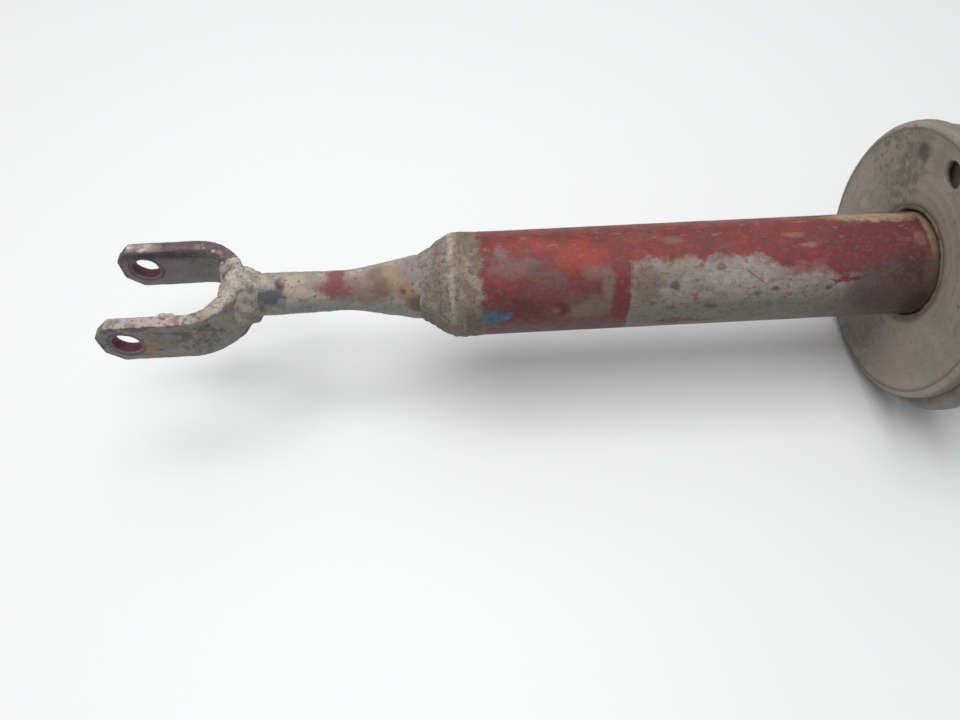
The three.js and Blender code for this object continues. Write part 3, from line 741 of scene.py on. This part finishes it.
def grid_mesh(name, grid, closed):
    """An object from points [row, place round the row, xyz]. Open ends are capped."""
    rows, around = grid.shape[:2]
    row = np.arange(rows if closed else rows - 1)[:, None]
    place = np.arange(around)[None, :]
    beside, below = (place + 1) % around, (row + 1) % rows
    corners = [row * around + place, row * around + beside, below * around + beside, below * around + place]
    faces = np.stack(corners, -1).reshape(-1, 4).tolist()
    if not closed:
        faces.append(list(range(around)))
        faces.append([(rows - 1) * around + i for i in range(around)])
    return make(name, grid, faces)


def lathe(name, profile, segments, step, cut, closed=True, reshape=None):
    """A shape turned about the strut's axis from [x, r] points. reshape(x, r, turn) may change r."""
    line = np.array(dense(softened(profile, cut, closed), step, closed))
    turn = np.linspace(0, 2 * np.pi, segments, endpoint=False)[None, :]
    x = np.repeat(line[:, :1], segments, 1)
    r = np.repeat(line[:, 1:], segments, 1)
    if reshape:
        r = reshape(x, r, turn)
    return grid_mesh(name, np.stack([x, r * np.cos(turn), r * np.sin(turn)], -1), closed)


def ring_profile(node, inner):
    """The section of a plain ring over a CAD node's length."""
    first, last, outer = span(node)
    return [[first, inner], [first, outer], [last, outer], [last, inner]]


def vertex_rows(obj, key):
    """The vertices' places (co) or normals (normal), one row for each."""
    rows = np.zeros(len(obj.data.vertices) * 3, np.float32)
    obj.data.vertices.foreach_get(key, rows)
    return rows.reshape(-1, 3)


def roughen(obj, height):
    """Moves each vertex along its normal by height(p) millimetres, p being its place on the strut."""
    places = vertex_rows(obj, "co")
    normals = vertex_rows(obj, "normal")
    strut = (places - np.array(ORIGIN)) / MM
    lift = np.array([height(Vector(p)) for p in strut.tolist()])
    moved = places + normals * lift[:, None] * MM
    obj.data.vertices.foreach_set("co", moved.astype(np.float32).ravel())
    obj.data.update()
    return obj


def lumps(p, size, seed=0.0, octaves=3):
    """Fractal noise about 0, with lumps about size millimetres across."""
    return noise.fractal(p / size + Vector((seed, seed * 1.7, -seed)), 1.0, 2.0, octaves)


def uneven(obj, *waves):
    """Roughens a piece by lumps that are given as [height, size, seed] or [height, size, seed, octaves]."""
    return roughen(obj, lambda p: sum(height * lumps(p, *wave) for height, *wave in waves))


def near(p, centre, reach):
    """1 at a point, falling smoothly to 0 at a distance of reach."""
    share = max(0.0, 1 - (p - Vector(centre)).length / reach)
    return share * share * (3 - 2 * share)


def applied(obj):
    """Makes the object's modifiers part of its mesh."""
    seen = obj.evaluated_get(bpy.context.evaluated_depsgraph_get())
    mesh = bpy.data.meshes.new_from_object(seen)
    obj.modifiers.clear()
    obj.data = mesh
    mesh.shade_smooth()
    return obj


def cut_away(obj, cutter):
    """Takes the cutter's volume out of the object."""
    change = obj.modifiers.new("cut", "BOOLEAN")
    change.object = cutter
    change.solver = "EXACT"
    applied(obj)
    bpy.data.objects.remove(cutter)
    return obj


def remeshed(obj, voxel, passes):
    """Joins overlapping shells into one even skin and eases it."""
    change = obj.modifiers.new("remesh", "REMESH")
    change.mode = "VOXEL"
    change.voxel_size = voxel * MM
    ease = obj.modifiers.new("ease", "SMOOTH")
    ease.iterations = passes
    ease.factor = 0.5
    return applied(obj)


def joined(name, parts):
    """One object from several, which are removed."""
    shape = bmesh.new()
    for part in parts:
        shape.from_mesh(part.data)
        bpy.data.objects.remove(part)
    mesh = bpy.data.meshes.new(name)
    shape.to_mesh(mesh)
    shape.free()
    obj = bpy.data.objects.new(name, mesh)
    bpy.context.scene.collection.objects.link(obj)
    return obj


def ball(centre, half):
    """A rounded lump about a point, with its half lengths, for joining into a larger shape."""
    shape = bmesh.new()
    bmesh.ops.create_icosphere(shape, subdivisions=3, radius=1)
    points = [[c + h * v for c, h, v in zip(centre, half, vertex.co)] for vertex in shape.verts]
    faces = [[vertex.index for vertex in face.verts] for face in shape.faces]
    shape.free()
    return make("lump", points, faces)


def rod_along(name, start, end, radius, segments):
    """A capped round bar between two points."""
    start, end = Vector(start), Vector(end)
    side = (end - start).orthogonal().normalized()
    other = (end - start).normalized().cross(side)
    turns = np.linspace(0, 2 * np.pi, segments, endpoint=False)
    circle = [side * math.cos(t) * radius + other * math.sin(t) * radius for t in turns]
    grid = np.array([[list(end_point + c) for c in circle] for end_point in (start, end)])
    return grid_mesh(name, grid, False)


def dress(obj, material, body, slot, *nodes):
    """Gives a piece its material and its body, and hides the CAD nodes that it stands for. The slot is not
    used.
    """
    obj.data.materials.clear()
    obj.data.materials.append(material)
    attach(obj, body)
    if nodes:
        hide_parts(*nodes)
    return obj


# ---- Foot: fork, welds and neck ----
FORK_THICKNESS = 6.4
FORK_HALF_WIDTH = 12.85
FORK_BEND_X = 28.0
FORK_CHAMFER = 7.2
BOLT_HOLE_RADIUS = 6.1
WELD_BEADS = 13


def strap_section():
    """A rounded rectangle as [across the strap's thickness, across its width] points."""
    u, v = FORK_THICKNESS / 2, FORK_HALF_WIDTH
    box = softened([[-u, -v], [u, -v], [u, v], [-u, v]], 0.9, True)
    return np.array(dense(box, v / 5, True))


def fork_line():
    """Points along the middle of the strap's thickness, with its outward normals, in (x, y)."""
    middle = span("fork")[2] - FORK_THICKNESS / 2
    straight = np.arange(TIP_X, FORK_BEND_X, 1.0)
    near_arm = [((x, -middle), (0, -1)) for x in straight]
    out = [(math.cos(t), math.sin(t)) for t in np.linspace(-np.pi / 2, np.pi / 2, 60)]
    bend = [((FORK_BEND_X + middle * x, middle * y), (x, y)) for x, y in out]
    far_arm = [((x, middle), (0, 1)) for x in straight[::-1]]
    return near_arm + bend + far_arm


def fork_height(p):
    """Scale, scabs and hammered unevenness of the strap."""
    scabs = near(p, (38, -24, 0), 17) + 0.8 * min(1.0, max(0.0, (p.x - 38) / 8))
    return 0.16 * lumps(p, 7, 1) + 0.1 * lumps(p, 2, 2) + scabs * 0.4 * lumps(p, 3, 3)


def add_fork(material):
    """The bent strap with clipped tips and two bolt holes."""
    section = strap_section()
    rows = []
    for (x, y), (nx, ny) in fork_line():
        width = 1 - max(0.0, TIP_X + FORK_CHAMFER - x) / FORK_HALF_WIDTH
        rows.append([[x + nx * u, y + ny * u, v * width] for u, v in section])
    strap = grid_mesh("fork_strap", np.array(rows), False)
    cut_away(strap, rod_along("drill", (0, -40, 0), (0, 40, 0), BOLT_HOLE_RADIUS, 64))
    outer = span("fork")[2]
    for face in (outer, outer - FORK_THICKNESS):
        for side in (-1, 1):
            ends = [(0, side * (face + shift), 0) for shift in (-0.7, 0.7)]
            cut_away(strap, rod_along("countersink", *ends, BOLT_HOLE_RADIUS + 0.8, 64))
    remeshed(strap, 0.55, 3)
    roughen(strap, fork_height)
    dress(strap, material, "damper_body", "fork_steel", "fork")


def crotch_fill():
    """Weld laid along the inside of the fork's bend, thickest in the middle."""
    inside = span("fork")[2] - FORK_THICKNESS
    fill = []
    for i, turn in enumerate(np.radians([-52, -40, -28, -16, -5, 6, 17, 29, 41])):
        deep = 4.4 * math.cos(turn) ** 2
        middle = inside + 1.4 - 0.5 * deep
        x, y = FORK_BEND_X + middle * math.cos(turn), middle * math.sin(turn)
        fill.append(ball((x, y, 4.6 + math.sin(2.2 * i)), (deep + 1.4, 3.6, 7.2)))
        fill.append(ball((x + 0.6, y, -5 + math.cos(1.7 * i)), (deep + 1.0, 3.4, 5.6)))
    edge = inside + FORK_THICKNESS / 2 - 0.4
    for i, turn in enumerate(np.radians(range(-50, 34, 7))):
        thick = 0.9 + 1.8 * math.cos(turn) ** 2 + 0.3 * math.sin(2.6 * i)
        place = (FORK_BEND_X + edge * math.cos(turn), edge * math.sin(turn))
        for side in (-1, 1):
            fill.append(ball((*place, side * 12.3), (4.2, 3.6, thick)))
    return fill


def add_fork_weld(material):
    """A lumpy fillet of weld from the strap's bend to the neck, and over the crotch of the fork."""
    collar = lathe("collar", [[45, 9], [46, 13.6], [49, 15.4], [52, 15.0], [55, 13.2], [58, 11.6],
                              [61, 10.6], [63, 9.8], [62, 9], [57, 8.6]], 72, 1.5, 2)
    beads = []
    for i in range(WELD_BEADS):
        turn = 2 * math.pi * i / WELD_BEADS
        reach = 11.8 + 0.5 * math.sin(2.3 * i)
        x = 53.2 + 1.8 * math.cos(3.1 * i)
        beads.append(ball((x, reach * math.cos(turn), reach * math.sin(turn)), (5.0, 2.8, 2.8)))
    weld = joined("fork_weld_bead", [collar, *crotch_fill(), *beads])
    remeshed(weld, 0.6, 10)
    uneven(weld, [0.45, 6, 4], [0.28, 2.2, 5, 4])
    dress(weld, material, "damper_body", "weld_steel", "fork_weld")
    spatter = joined("weld_spatter", [
        ball((20.6, -20.8, 12.7), (2.8, 1.7, 1.1)), ball((23.8, -20.5, 12.6), (1.9, 1.4, 0.9)),
        ball((31, -21.4, 12.5), (1.3, 1.0, 0.7)), ball((38, 18.8, 12.2), (1.6, 1.2, 0.9)),
        ball((33, 21, 12.4), (0.9, 0.8, 0.7))])
    spatter.data.shade_smooth()
    dress(spatter, material, "damper_body", "weld_steel")


def neck_height(p):
    """Swaging marks, scale and a few dents."""
    dents = near(p, (88, -3, 9.7), 8) + near(p, (108, -7.6, 6.6), 7)
    return 0.2 * lumps(p, 9, 6) + 0.12 * lumps(p, 2.4, 7) - 0.4 * dents


def add_neck(material):
    """The swaged neck: thin behind the fork, waisted, and flaring to the body."""
    first, last, _ = span("neck_tube")
    outside = [[first, 10.4], [62, 10.5], [78, 10.3], [90, 10.0], [99, 9.9], [106, 10.1], [112, 11.0],
               [120, 12.5], [128, 14.0], [136, 15.6], [141, 16.1], [last, 16.3]]
    bore = [[last, 12], [136, 11.4], [118, 7.9], [108, 6.2], [first, 6.2]]
    neck = lathe("neck_swaged", outside + bore, 144, 0.8, 4)
    roughen(neck, neck_height)
    dress(neck, material, "damper_body", "neck_steel", "neck_tube")


def add_shoulder(material):
    """The cap that closes the body's foot, with its seam, and the weld round the neck."""
    first, last, _ = span("base_cap")
    cap = lathe("base_cap_crust", [
        [149, 0.4], [150, 15], [153, 19], [last, 21], [last, 22.8], [158.4, 22.8], [158.4, 25.5],
        [161.4, 25.5], [160.8, 26.0], [157.4, 25.7], [155.4, 25.95], [153.8, 25.0], [151, 23.7],
        [149, 22.3], [147, 19.9], [first + 0.4, 17.4], [first, 14], [first, 0.4]], 160, 0.8, 1.0, False)
    uneven(cap, [0.3, 6, 8], [0.2, 1.7, 9, 4])
    dress(cap, material, "damper_body", "weld_steel", "base_cap")
    bead = lathe("neck_weld_bead", [
        [138.8, 15.6], [140.6, 16.9], [143, 18.2], [145.4, 19.4], [147.2, 21.0], [149, 22.6],
        [149.4, 21.8], [147, 18.8], [145.4, 16.2], [142, 15.4]], 160, 0.7, 1.0)
    uneven(bead, [0.6, 6, 10], [0.3, 1.8, 11, 4])
    dress(bead, material, "damper_body", "weld_steel", "neck_weld")


# ---- Body tube and what shows on it ----
def tube_height(p):
    """Faint dents, and crust near both ends."""
    foot = max(0.0, min(1.0, (168 + 5 * lumps(p, 8, 12) - p.x) / 3))
    seat = near(p, (384, p.y, p.z), 12)
    return 0.07 * lumps(p, 18, 13) + foot * (0.3 + 0.3 * lumps(p, 2.5, 14)) + 0.25 * seat * lumps(p, 3, 15)


def add_tube(material):
    """The body's shell, with its upper edge rolled in."""
    first, last, reach = span("body_tube")
    wall = reach - 2.2
    tube = lathe("body_shell", [
        [first, wall], [first, reach], [last - 3, reach], [last - 0.8, reach - 0.9], [last, reach - 3],
        [last, 19], [last - 2, 19], [last - 2, wall]], 176, 1.2, 0.4)
    roughen(tube, tube_height)
    dress(tube, material, "damper_body", "red_paint", "body_tube")


def add_support_ring(material):
    """A split snap ring of round wire."""
    first, last, reach = span("seat_support_ring")
    half = (last - first) / 2
    turns = np.linspace(math.radians(8), math.radians(352), 150)
    around = np.linspace(0, 2 * np.pi, 14, endpoint=False)
    rows = []
    for turn in turns:
        radial = reach - 0.8 + 0.8 * np.cos(around)
        x = (first + last) / 2 + half * np.sin(around)
        rows.append(np.stack([x, radial * math.cos(turn), radial * math.sin(turn)], -1))
    ring = grid_mesh("support_snap_ring", np.array(rows), False)
    dress(ring, material, "damper_body", "bare_steel", "seat_support_ring")


def add_striker_cap(material):
    """The plastic cup pressed over the tube's top, with grip ribs round its wall."""
    first, last, reach = span("striker_cap")

    def ribs(x, r, turn):
        on_wall = (r > reach - 0.6) & (x > first + 3) & (x < last - 3)
        return r - 0.5 * on_wall * (np.sin(36 * turn) > 0.2)

    cap = lathe("striker_cup", [
        [first, 25.8], [first, reach], [last - 1.3, reach], [last, reach - 1.3], [last, 17],
        [last - 0.8, 16], [last, 12], [last, 9], [last - 2.5, 9], [last - 2.5, 25.8]], 288, 0.8, 0.5,
        reshape=ribs)
    dress(cap, material, "damper_body", "black_plastic", "striker_cap")


# ---- Lower seat, pad and spring ----
DRAIN = Vector((0, 5, 53))
DRAIN_RADIUS = 6.4
DIMPLE = (383, 28.4, 45.9)
PRESSING_RINGS = 1.1  # radians of their wave for each millimetre from the axis


def seat_height(p):
    """A pressed dimple, shallow pressing rings and slight warping."""
    far = math.hypot(p.y, p.z)
    dimple = near(p, DIMPLE, 7)
    rings = 0.05 * math.sin(far * PRESSING_RINGS) if 34 < far < 62 else 0.0
    lip = near(p, (383, DRAIN.y, DRAIN.z), DRAIN_RADIUS + 3.5)
    return rings + 0.12 * lumps(p, 16, 16) + 0.04 * lumps(p, 2, 17) - 1.1 * dimple - 0.5 * lip


def add_seat(material):
    """The pressed dish, with a rolled rim, a sleeve round the tube and a drain hole."""
    first, last, reach = span("lower_spring_seat")
    profile = [
        [384.4, 28], [384, 29.5], [383.6, 34], [382.2, 50], [380.8, 61], [380.2, 63.6], [380.2, 66],
        [381.2, 67.8], [383, reach - 0.2], [386.6, reach], [386.6, reach - 2.4], [384.4, 65.4],
        [383.6, 62], [385, 50], [386.6, 36], [388.5, 31], [last, 30.6], [last, 26], [last - 3, 26],
        [last - 3, 28]]
    seat = lathe("seat_dish", profile, 200, 1.2, 0.8)
    start = DRAIN + Vector((first - 5, 0, 0))
    cut_away(seat, rod_along("drill", start, start + Vector((14, 0, 0)), DRAIN_RADIUS, 64))
    roughen(seat, seat_height)
    dress(seat, material, "spring_seat", "seat_steel", "lower_spring_seat")


def add_seat_dirt_and_shade(material):
    """Packed dirt in the gap between the seat and the tube, coloured dark as painted shade of the crevice,
    with dust on its upper side.
    """
    inner = span("body_tube")[2] + 0.6
    dirt = lathe("seat_gap_dirt_and_shade", [[384.8, inner], [384.0, inner + 0.7], [383.9, inner + 1.7],
                                   [384.5, inner + 2.5], [388, inner + 2.3], [388, inner]], 160, 0.5, 0.3)
    uneven(dirt, [0.34, 5, 18], [0.16, 1.6, 17])
    dress(dirt, material, "spring_seat", "seat_steel")


def plate_ring(name, rows, inner, reach, cut=0.3):
    """A flat ring whose outline is reach(turn). Rows are [x, share of the way from inside to outside]."""
    turn = np.linspace(0, 2 * np.pi, 240, endpoint=False)
    outline = reach(turn)
    section = [[x, inner + share * (outline.mean() - inner)] for x, share in rows]
    grid = []
    for x, r in dense(softened(section, cut, True), 2.0, True):
        share = (r - inner) / (outline.mean() - inner)
        radius = inner + (outline - inner) * share
        grid.append(np.stack([np.full_like(turn, x), radius * np.cos(turn), radius * np.sin(turn)], -1))
    return grid_mesh(name, np.array(grid), True)


def add_lower_pad(material):
    """The rubber under the spring, which has crept sideways and stands out past the seat."""
    first, last, _ = span("lower_spring_pad")
    low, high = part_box("lower_spring_pad")
    outer = (high.y - low.y) / 2 / MM - 0.1
    shift = (high.y + low.y) / 2 / MM
    rows = [[first + 0.4, 0.0], [first + 0.2, 0.5], [first, 0.92], [first + 1.2, 0.985], [first + 2.2, 1.0],
            [last - 1.2, 1.0], [last, 0.97], [last, 0.75], [last - 0.4, 0.62], [last - 0.4, 0.35],
            [last, 0.22], [last, 0.0]]

    def reach(turn):
        return shift * np.cos(turn) + np.sqrt(outer ** 2 - (shift * np.sin(turn)) ** 2)

    pad = plate_ring("seat_pad_rubber", rows, 40, reach)
    uneven(pad, [0.1, 9, 19], [0.05, 2, 20])
    dress(pad, material, "spring_seat", "seat_rubber", "lower_spring_pad")


WIRE_RADIUS = 6.5
SPRING_END_TURNS = 0.7
SPRING_END_PITCH = 14.6
SPRING_MIDDLE_TURNS = 4.3


def spring_line(steps):
    """The wire's middle line as rows of x and turns, with closed end coils."""
    first, last, _ = span("coil_spring")
    start, end = first + WIRE_RADIUS, last - WIRE_RADIUS
    turns = np.linspace(0, 2 * SPRING_END_TURNS + SPRING_MIDDLE_TURNS, steps)
    pitch = (end - start - 2 * SPRING_END_TURNS * SPRING_END_PITCH) / SPRING_MIDDLE_TURNS
    head = np.minimum(turns, SPRING_END_TURNS)
    tail = np.maximum(turns - SPRING_END_TURNS - SPRING_MIDDLE_TURNS, 0)
    x = start + (head + tail) * SPRING_END_PITCH + (turns - head - tail) * pitch
    return x, turns


def add_spring(material):
    """The coil spring, with its end coils on their pads and an even pitch between them."""
    steps, around = 700, 22
    coil_radius = span("coil_spring")[2] - WIRE_RADIUS
    x, turns = spring_line(steps)
    angle = 2 * np.pi * turns
    middle = np.stack([x, coil_radius * np.cos(angle), coil_radius * np.sin(angle)], -1)
    outward = np.stack([np.zeros(steps), np.cos(angle), np.sin(angle)], -1)
    along = np.gradient(middle, axis=0)
    along /= np.linalg.norm(along, axis=1)[:, None]
    side = np.cross(along, outward)
    round_end = np.clip(np.minimum(np.arange(steps), np.arange(steps)[::-1]) / 3.0, 0, 1)
    wire = WIRE_RADIUS * np.sqrt(1 - (1 - round_end) ** 2 * 0.6)
    t = np.linspace(0, 2 * np.pi, around, endpoint=False)
    ring = outward[:, None] * np.cos(t)[None, :, None] + side[:, None] * np.sin(t)[None, :, None]
    spring = grid_mesh("coil_spring_wire", middle[:, None] + ring * wire[:, None, None], False)
    spring.data.materials.append(material)
    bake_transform(spring)
    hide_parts("coil_spring")


# ---- Rod, gaiter and bump stop ----
def thread(pitch, depth, first, last):
    """A reshape function for lathe() that cuts a screw thread from x first to x last."""

    def cut(x, r, turn):
        wave = np.abs(((x / pitch - turn / (2 * np.pi)) % 1.0) * 2 - 1)
        inside = (x > first) & (x < last) & (r > 1)
        return r - depth * wave * inside

    return cut


def add_rod(material):
    """The plated rod, with its thinner foot and its threaded upper end."""
    first, last, _ = span("piston_rod")
    foot, shoulder, thread_start = 422.7, 641, 668
    rod = lathe("rod_bar", [
        [first, 0.3], [first, 4.4], [first + 0.6, 5], [foot, 5], [foot, 7], [shoulder, 7], [shoulder, 6],
        [last - 1.2, 6], [last, 4.8], [last, 0.3]], 64, 0.3, 0.3, False,
        reshape=thread(1.5, 0.7, thread_start, last - 0.6))
    dress(rod, material, "rod", "rod_chrome", "piston_rod")


GAITER_FOLDS = 8


def gaiter_profile():
    """The folded sleeve's section, with rounded crests and roots and a collar at each end."""
    _, last, reach = span("dust_gaiter")
    first_fold, steps = 486, 12
    root = reach - 5.5
    fold = (last - first_fold) / GAITER_FOLDS
    outside = [[468, 29.4], [468.8, 30.2], [472, 30.2], [473, 29.4]]
    for i in range(GAITER_FOLDS * steps):
        x = first_fold + i * fold / steps
        wave = 0.5 - 0.5 * math.cos(2 * math.pi * i / steps)
        outside.append([x, root + (reach - root) * wave ** 0.8])
    outside += [[last - 1, root], [last, root]]
    inside = [[x, min(r, reach) - 1.4] for x, r in outside]
    inside[1][1] = inside[2][1] = 28.0
    return outside + inside[::-1]


def add_gaiter(material):
    """The folded dust sleeve."""
    gaiter = lathe("gaiter_bellows", gaiter_profile(), 112, 1.2, 0.2)
    uneven(gaiter, [0.12, 14, 21])
    dress(gaiter, material, "rod", "rubber", "dust_gaiter")
    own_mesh(gaiter)


def add_bump_stop(material):
    """The foam stop on the rod, with three waists and a tapering foot."""
    first, last, reach = span("bump_stop")
    stop = lathe("bump_stop_foam", [
        [first, 7.8], [first, 11], [575, 14.5], [580, 15.5], [586, 13], [592, 17], [598, 18], [605, 14.5],
        [612, 19], [619, reach], [625, 16], [629, reach], [last, reach], [last, 7.8]], 80, 1.0, 2.5)
    uneven(stop, [0.08, 3, 22])
    dress(stop, material, "rod", "foam", "bump_stop")
    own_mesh(stop)


# ---- Upper mount ----
def add_upper_seat(rubber, steel):
    """The upper pad and the pressed seat over it."""
    pad = lathe("upper_pad_rubber", ring_profile("upper_spring_pad", 44), 160, 1.5, 0.8)
    uneven(pad, [0.1, 9, 23])
    dress(pad, rubber, "rod", "rubber", "upper_spring_pad")
    first, last, reach = span("upper_spring_seat")
    seat = lathe("upper_seat_pressed", [
        [638.2, 30.5], [638.2, 65], [636, 67.2], [first, 67.2], [first, reach], [637, reach - 0.1],
        [last, 66.5], [last, 30.5]], 200, 1.0, 1.0)
    uneven(seat, [0.06, 12, 24], [0.03, 2, 25])
    dress(seat, steel, "rod", "mount_steel", "upper_spring_seat")


PLATE_FLAT = 70.1
PLATE_CORNER = 88.0


def plate_reach(turn):
    """The mount plate's radius: a triangle with a flat side down, cut back to a circle."""
    from_flat = (turn + math.pi / 2 + math.pi / 3) % (2 * math.pi / 3) - math.pi / 3
    return np.minimum(PLATE_CORNER, PLATE_FLAT / np.cos(from_flat))


def centre_of(node):
    """The middle of a CAD node, in strut millimetres."""
    low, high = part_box(node)
    return ((low + high) / 2 - ORIGIN) / MM


def add_mount_plate(material, weld):
    """The three-cornered plate, with a soft edge, a raised boss at each stud and the housing's weld."""
    first, last, _ = span("mount_plate")
    rows = [[first, 0.0], [first, 1.0], [last, 1.0], [last, 0.0]]
    plate = plate_ring("mount_plate_pressed", rows, 34.3, plate_reach, 1.1)
    studs = [centre_of(f"mount_stud_{i}") for i in (1, 2, 3)]
    for stud in studs:
        start = Vector((first - 3, stud.y, stud.z))
        cut_away(plate, rod_along("drill", start, start + Vector((10, 0, 0)), 4.3, 40))

    def bosses(p):
        raised = max(near(p, (last, stud.y, stud.z), 15) for stud in studs)
        return 0.05 * lumps(p, 10, 26) + (0.7 * raised if p.x > last - 0.3 else 0.0)

    roughen(plate, bosses)
    dress(plate, material, "rod", "mount_steel", "mount_plate")
    bead = lathe("housing_weld", [
        [last - 0.3, 33.2], [last - 0.3, 36.6], [last + 1, 36.2], [last + 2.4, 34.4],
        [last + 2.6, 33.2]], 200, 0.6, 0.8,
        reshape=lambda x, r, turn: r + 0.22 * np.sin(60 * turn) * (r > 33.6))
    dress(bead, weld, "rod", "weld_steel")


def add_housing(material):
    """The cup welded into the mount plate, with a rolled lip and a dented wall."""
    first, last, reach = span("mount_housing")
    cup = lathe("mount_cup", [
        [first, 31], [first, reach], [last - 3.4, reach], [last - 1, 32.4], [last, 30.4], [last, 26],
        [last - 1.2, 25.5], [last - 2.5, 26], [last - 2.5, 31]], 160, 0.8, 1.2)
    uneven(cup, [0.06, 9, 27], [0.03, 2, 28])
    dress(cup, material, "rod", "mount_steel", "mount_housing")


def add_mount_core(rubber, steel, zinc):
    """The rubber bush with its sleeve, the two snub washers and the rod's nut."""
    first, last, reach = span("mount_rubber")
    bush = lathe("mount_bush", [
        [first, 11.8], [first, 27], [648, reach], [last - 1, reach], [last, reach - 1.5], [last, 24],
        [last - 3.5, 21], [last - 3.5, 16], [last, 13], [last, 11.8]], 144, 0.8, 0.9,
        reshape=lambda x, r, turn: r - 0.35 * (np.sin(24 * turn) > 0.7) * (x > last - 3) * (r > 20))
    dress(bush, rubber, "rod", "rubber", "mount_rubber")
    sleeve = lathe("mount_inner_sleeve", ring_profile("mount_sleeve", 6.3), 80, 1.0, 0.5)
    dress(sleeve, steel, "rod", "bare_steel", "mount_sleeve")
    lower = lathe("lower_snub_cup", ring_profile("lower_snub_washer", 6.3), 120, 1.0, 0.7)
    dress(lower, steel, "rod", "bare_steel", "lower_snub_washer")
    first, last, reach = span("upper_snub_washer")
    upper = lathe("upper_snub_cup", [
        [667.8, 6.3], [667.8, 22], [first, 24.4], [667.9, reach], [last, 22.2], [last, 14],
        [last - 0.5, 12], [last, 10], [last, 6.3]], 140, 0.8, 0.8)
    uneven(upper, [0.04, 6, 29])
    dress(upper, zinc, "rod", "zinc_steel", "upper_snub_washer")
    add_nut(zinc)


NUT_ACROSS_FLATS = 19.0


def add_nut(material):
    """The nut on the rod's thread: domed corners and a locking collar."""
    first, last, _ = span("rod_nut")

    def hexagon(x, r, turn):
        from_flat = turn % (math.pi / 3) - math.pi / 6
        return np.minimum(r, NUT_ACROSS_FLATS / 2 / np.cos(from_flat))

    nut = lathe("rod_lock_nut", [
        [first, 6.4], [first, 9.6], [first + 1.2, 11.1], [last - 3.6, 11.1], [last - 2.4, 9.7],
        [last - 2.2, 8.4], [last - 0.6, 8.2], [last, 7.4], [last, 6.4]], 144, 0.4, 0.3,
        reshape=hexagon)
    uneven(nut, [0.03, 2, 30])
    dress(nut, material, "rod", "zinc_steel", "rod_nut")


def add_studs(material):
    """Three pressed-in studs with a round head and a threaded shank."""
    for i in (1, 2, 3):
        node = f"mount_stud_{i}"
        centre = centre_of(node)
        first, last, _ = span(node)
        stud = lathe(f"threaded_stud_{i}", [
            [first, 0.3], [first, 6.8], [first + 0.6, 7.4], [first + 2.5, 7.4], [first + 2.5, 4],
            [last - 1, 4], [last, 3], [last, 0.3]], 48, 0.25, 0.2, False,
            reshape=thread(1.25, 0.6, first + 8.5, last - 0.4))
        stud.data.transform(Matrix.Translation((0, centre.y * MM, centre.z * MM)))
        dress(stud, material, "rod", "zinc_steel", node)


HIDDEN_METAL = (
    "rod_guide", "closing_disc", "pressure_tube", "base_valve_body", "intake_valve_plate",
    "base_valve_bolt", "piston", "rebound_shims", "piston_nut", "check_valve_plate", "check_valve_stop",
    "rebound_collar",
)


def refinish(nodes, material):
    """Gives CAD nodes that stay as they are a better material."""
    for node in nodes:
        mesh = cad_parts[node].data
        mesh.materials.clear()
        mesh.materials.append(material)


FLOOR_HALF = 4000  # strut millimetres


def add_floor():
    """A flat board under the CAD model's lowest point."""
    corners = ((-1, -1), (1, -1), (1, 1), (-1, 1))
    points = [[x * FLOOR_HALF, y * FLOOR_HALF, -ORIGIN.z / MM] for x, y in corners]
    floor = make("floor", points, [[0, 1, 2, 3]])
    floor.data.materials.append(floor_finish())


add_camera()
light_studio()
add_floor()
weld = weld_finish()
mount = mount_finish()
plastic = plastic_finish()
rubber = rubber_finish("black_rubber", "262524", "68635c", 0.4, 211)
steel = metal_finish("turned_steel", "b0aeaa", 0.34, 221)
zinc = metal_finish("zinc_plate", "b0a88c", 0.4, 251, stain="7e5234")
add_fork(fork_finish())
add_fork_weld(weld)
add_neck(neck_finish())
add_shoulder(crust_finish())
add_tube(tube_finish())
add_support_ring(steel)
add_striker_cap(plastic)
add_seat(seat_finish())
# Its dark colour is painted shade of the crevice; the tan dust is dirt.
add_seat_dirt_and_shade(rubber_finish("packed_dirt_and_shade", "5c5044", "8a7c6a", 0.45, 261))
add_lower_pad(rubber_finish("pad_rubber", "706a62", "8c847a", 0.7, 201))
add_spring(spring_finish())
add_rod(metal_finish("rod_chrome", "ced0d2", 0.12, 231, stained=0.15))
add_gaiter(rubber)
add_bump_stop(foam_finish())
add_upper_seat(rubber, mount)
add_mount_plate(mount, weld)
add_housing(mount)
add_mount_core(rubber, steel, zinc)
add_studs(zinc)
refinish(HIDDEN_METAL, steel)
refinish(["guide_bush"], metal_finish("bush_bronze", "b08a52", 0.35, 241))
refinish(["rod_seal", "rebound_buffer"], rubber)
refinish(["piston_ring"], plastic)
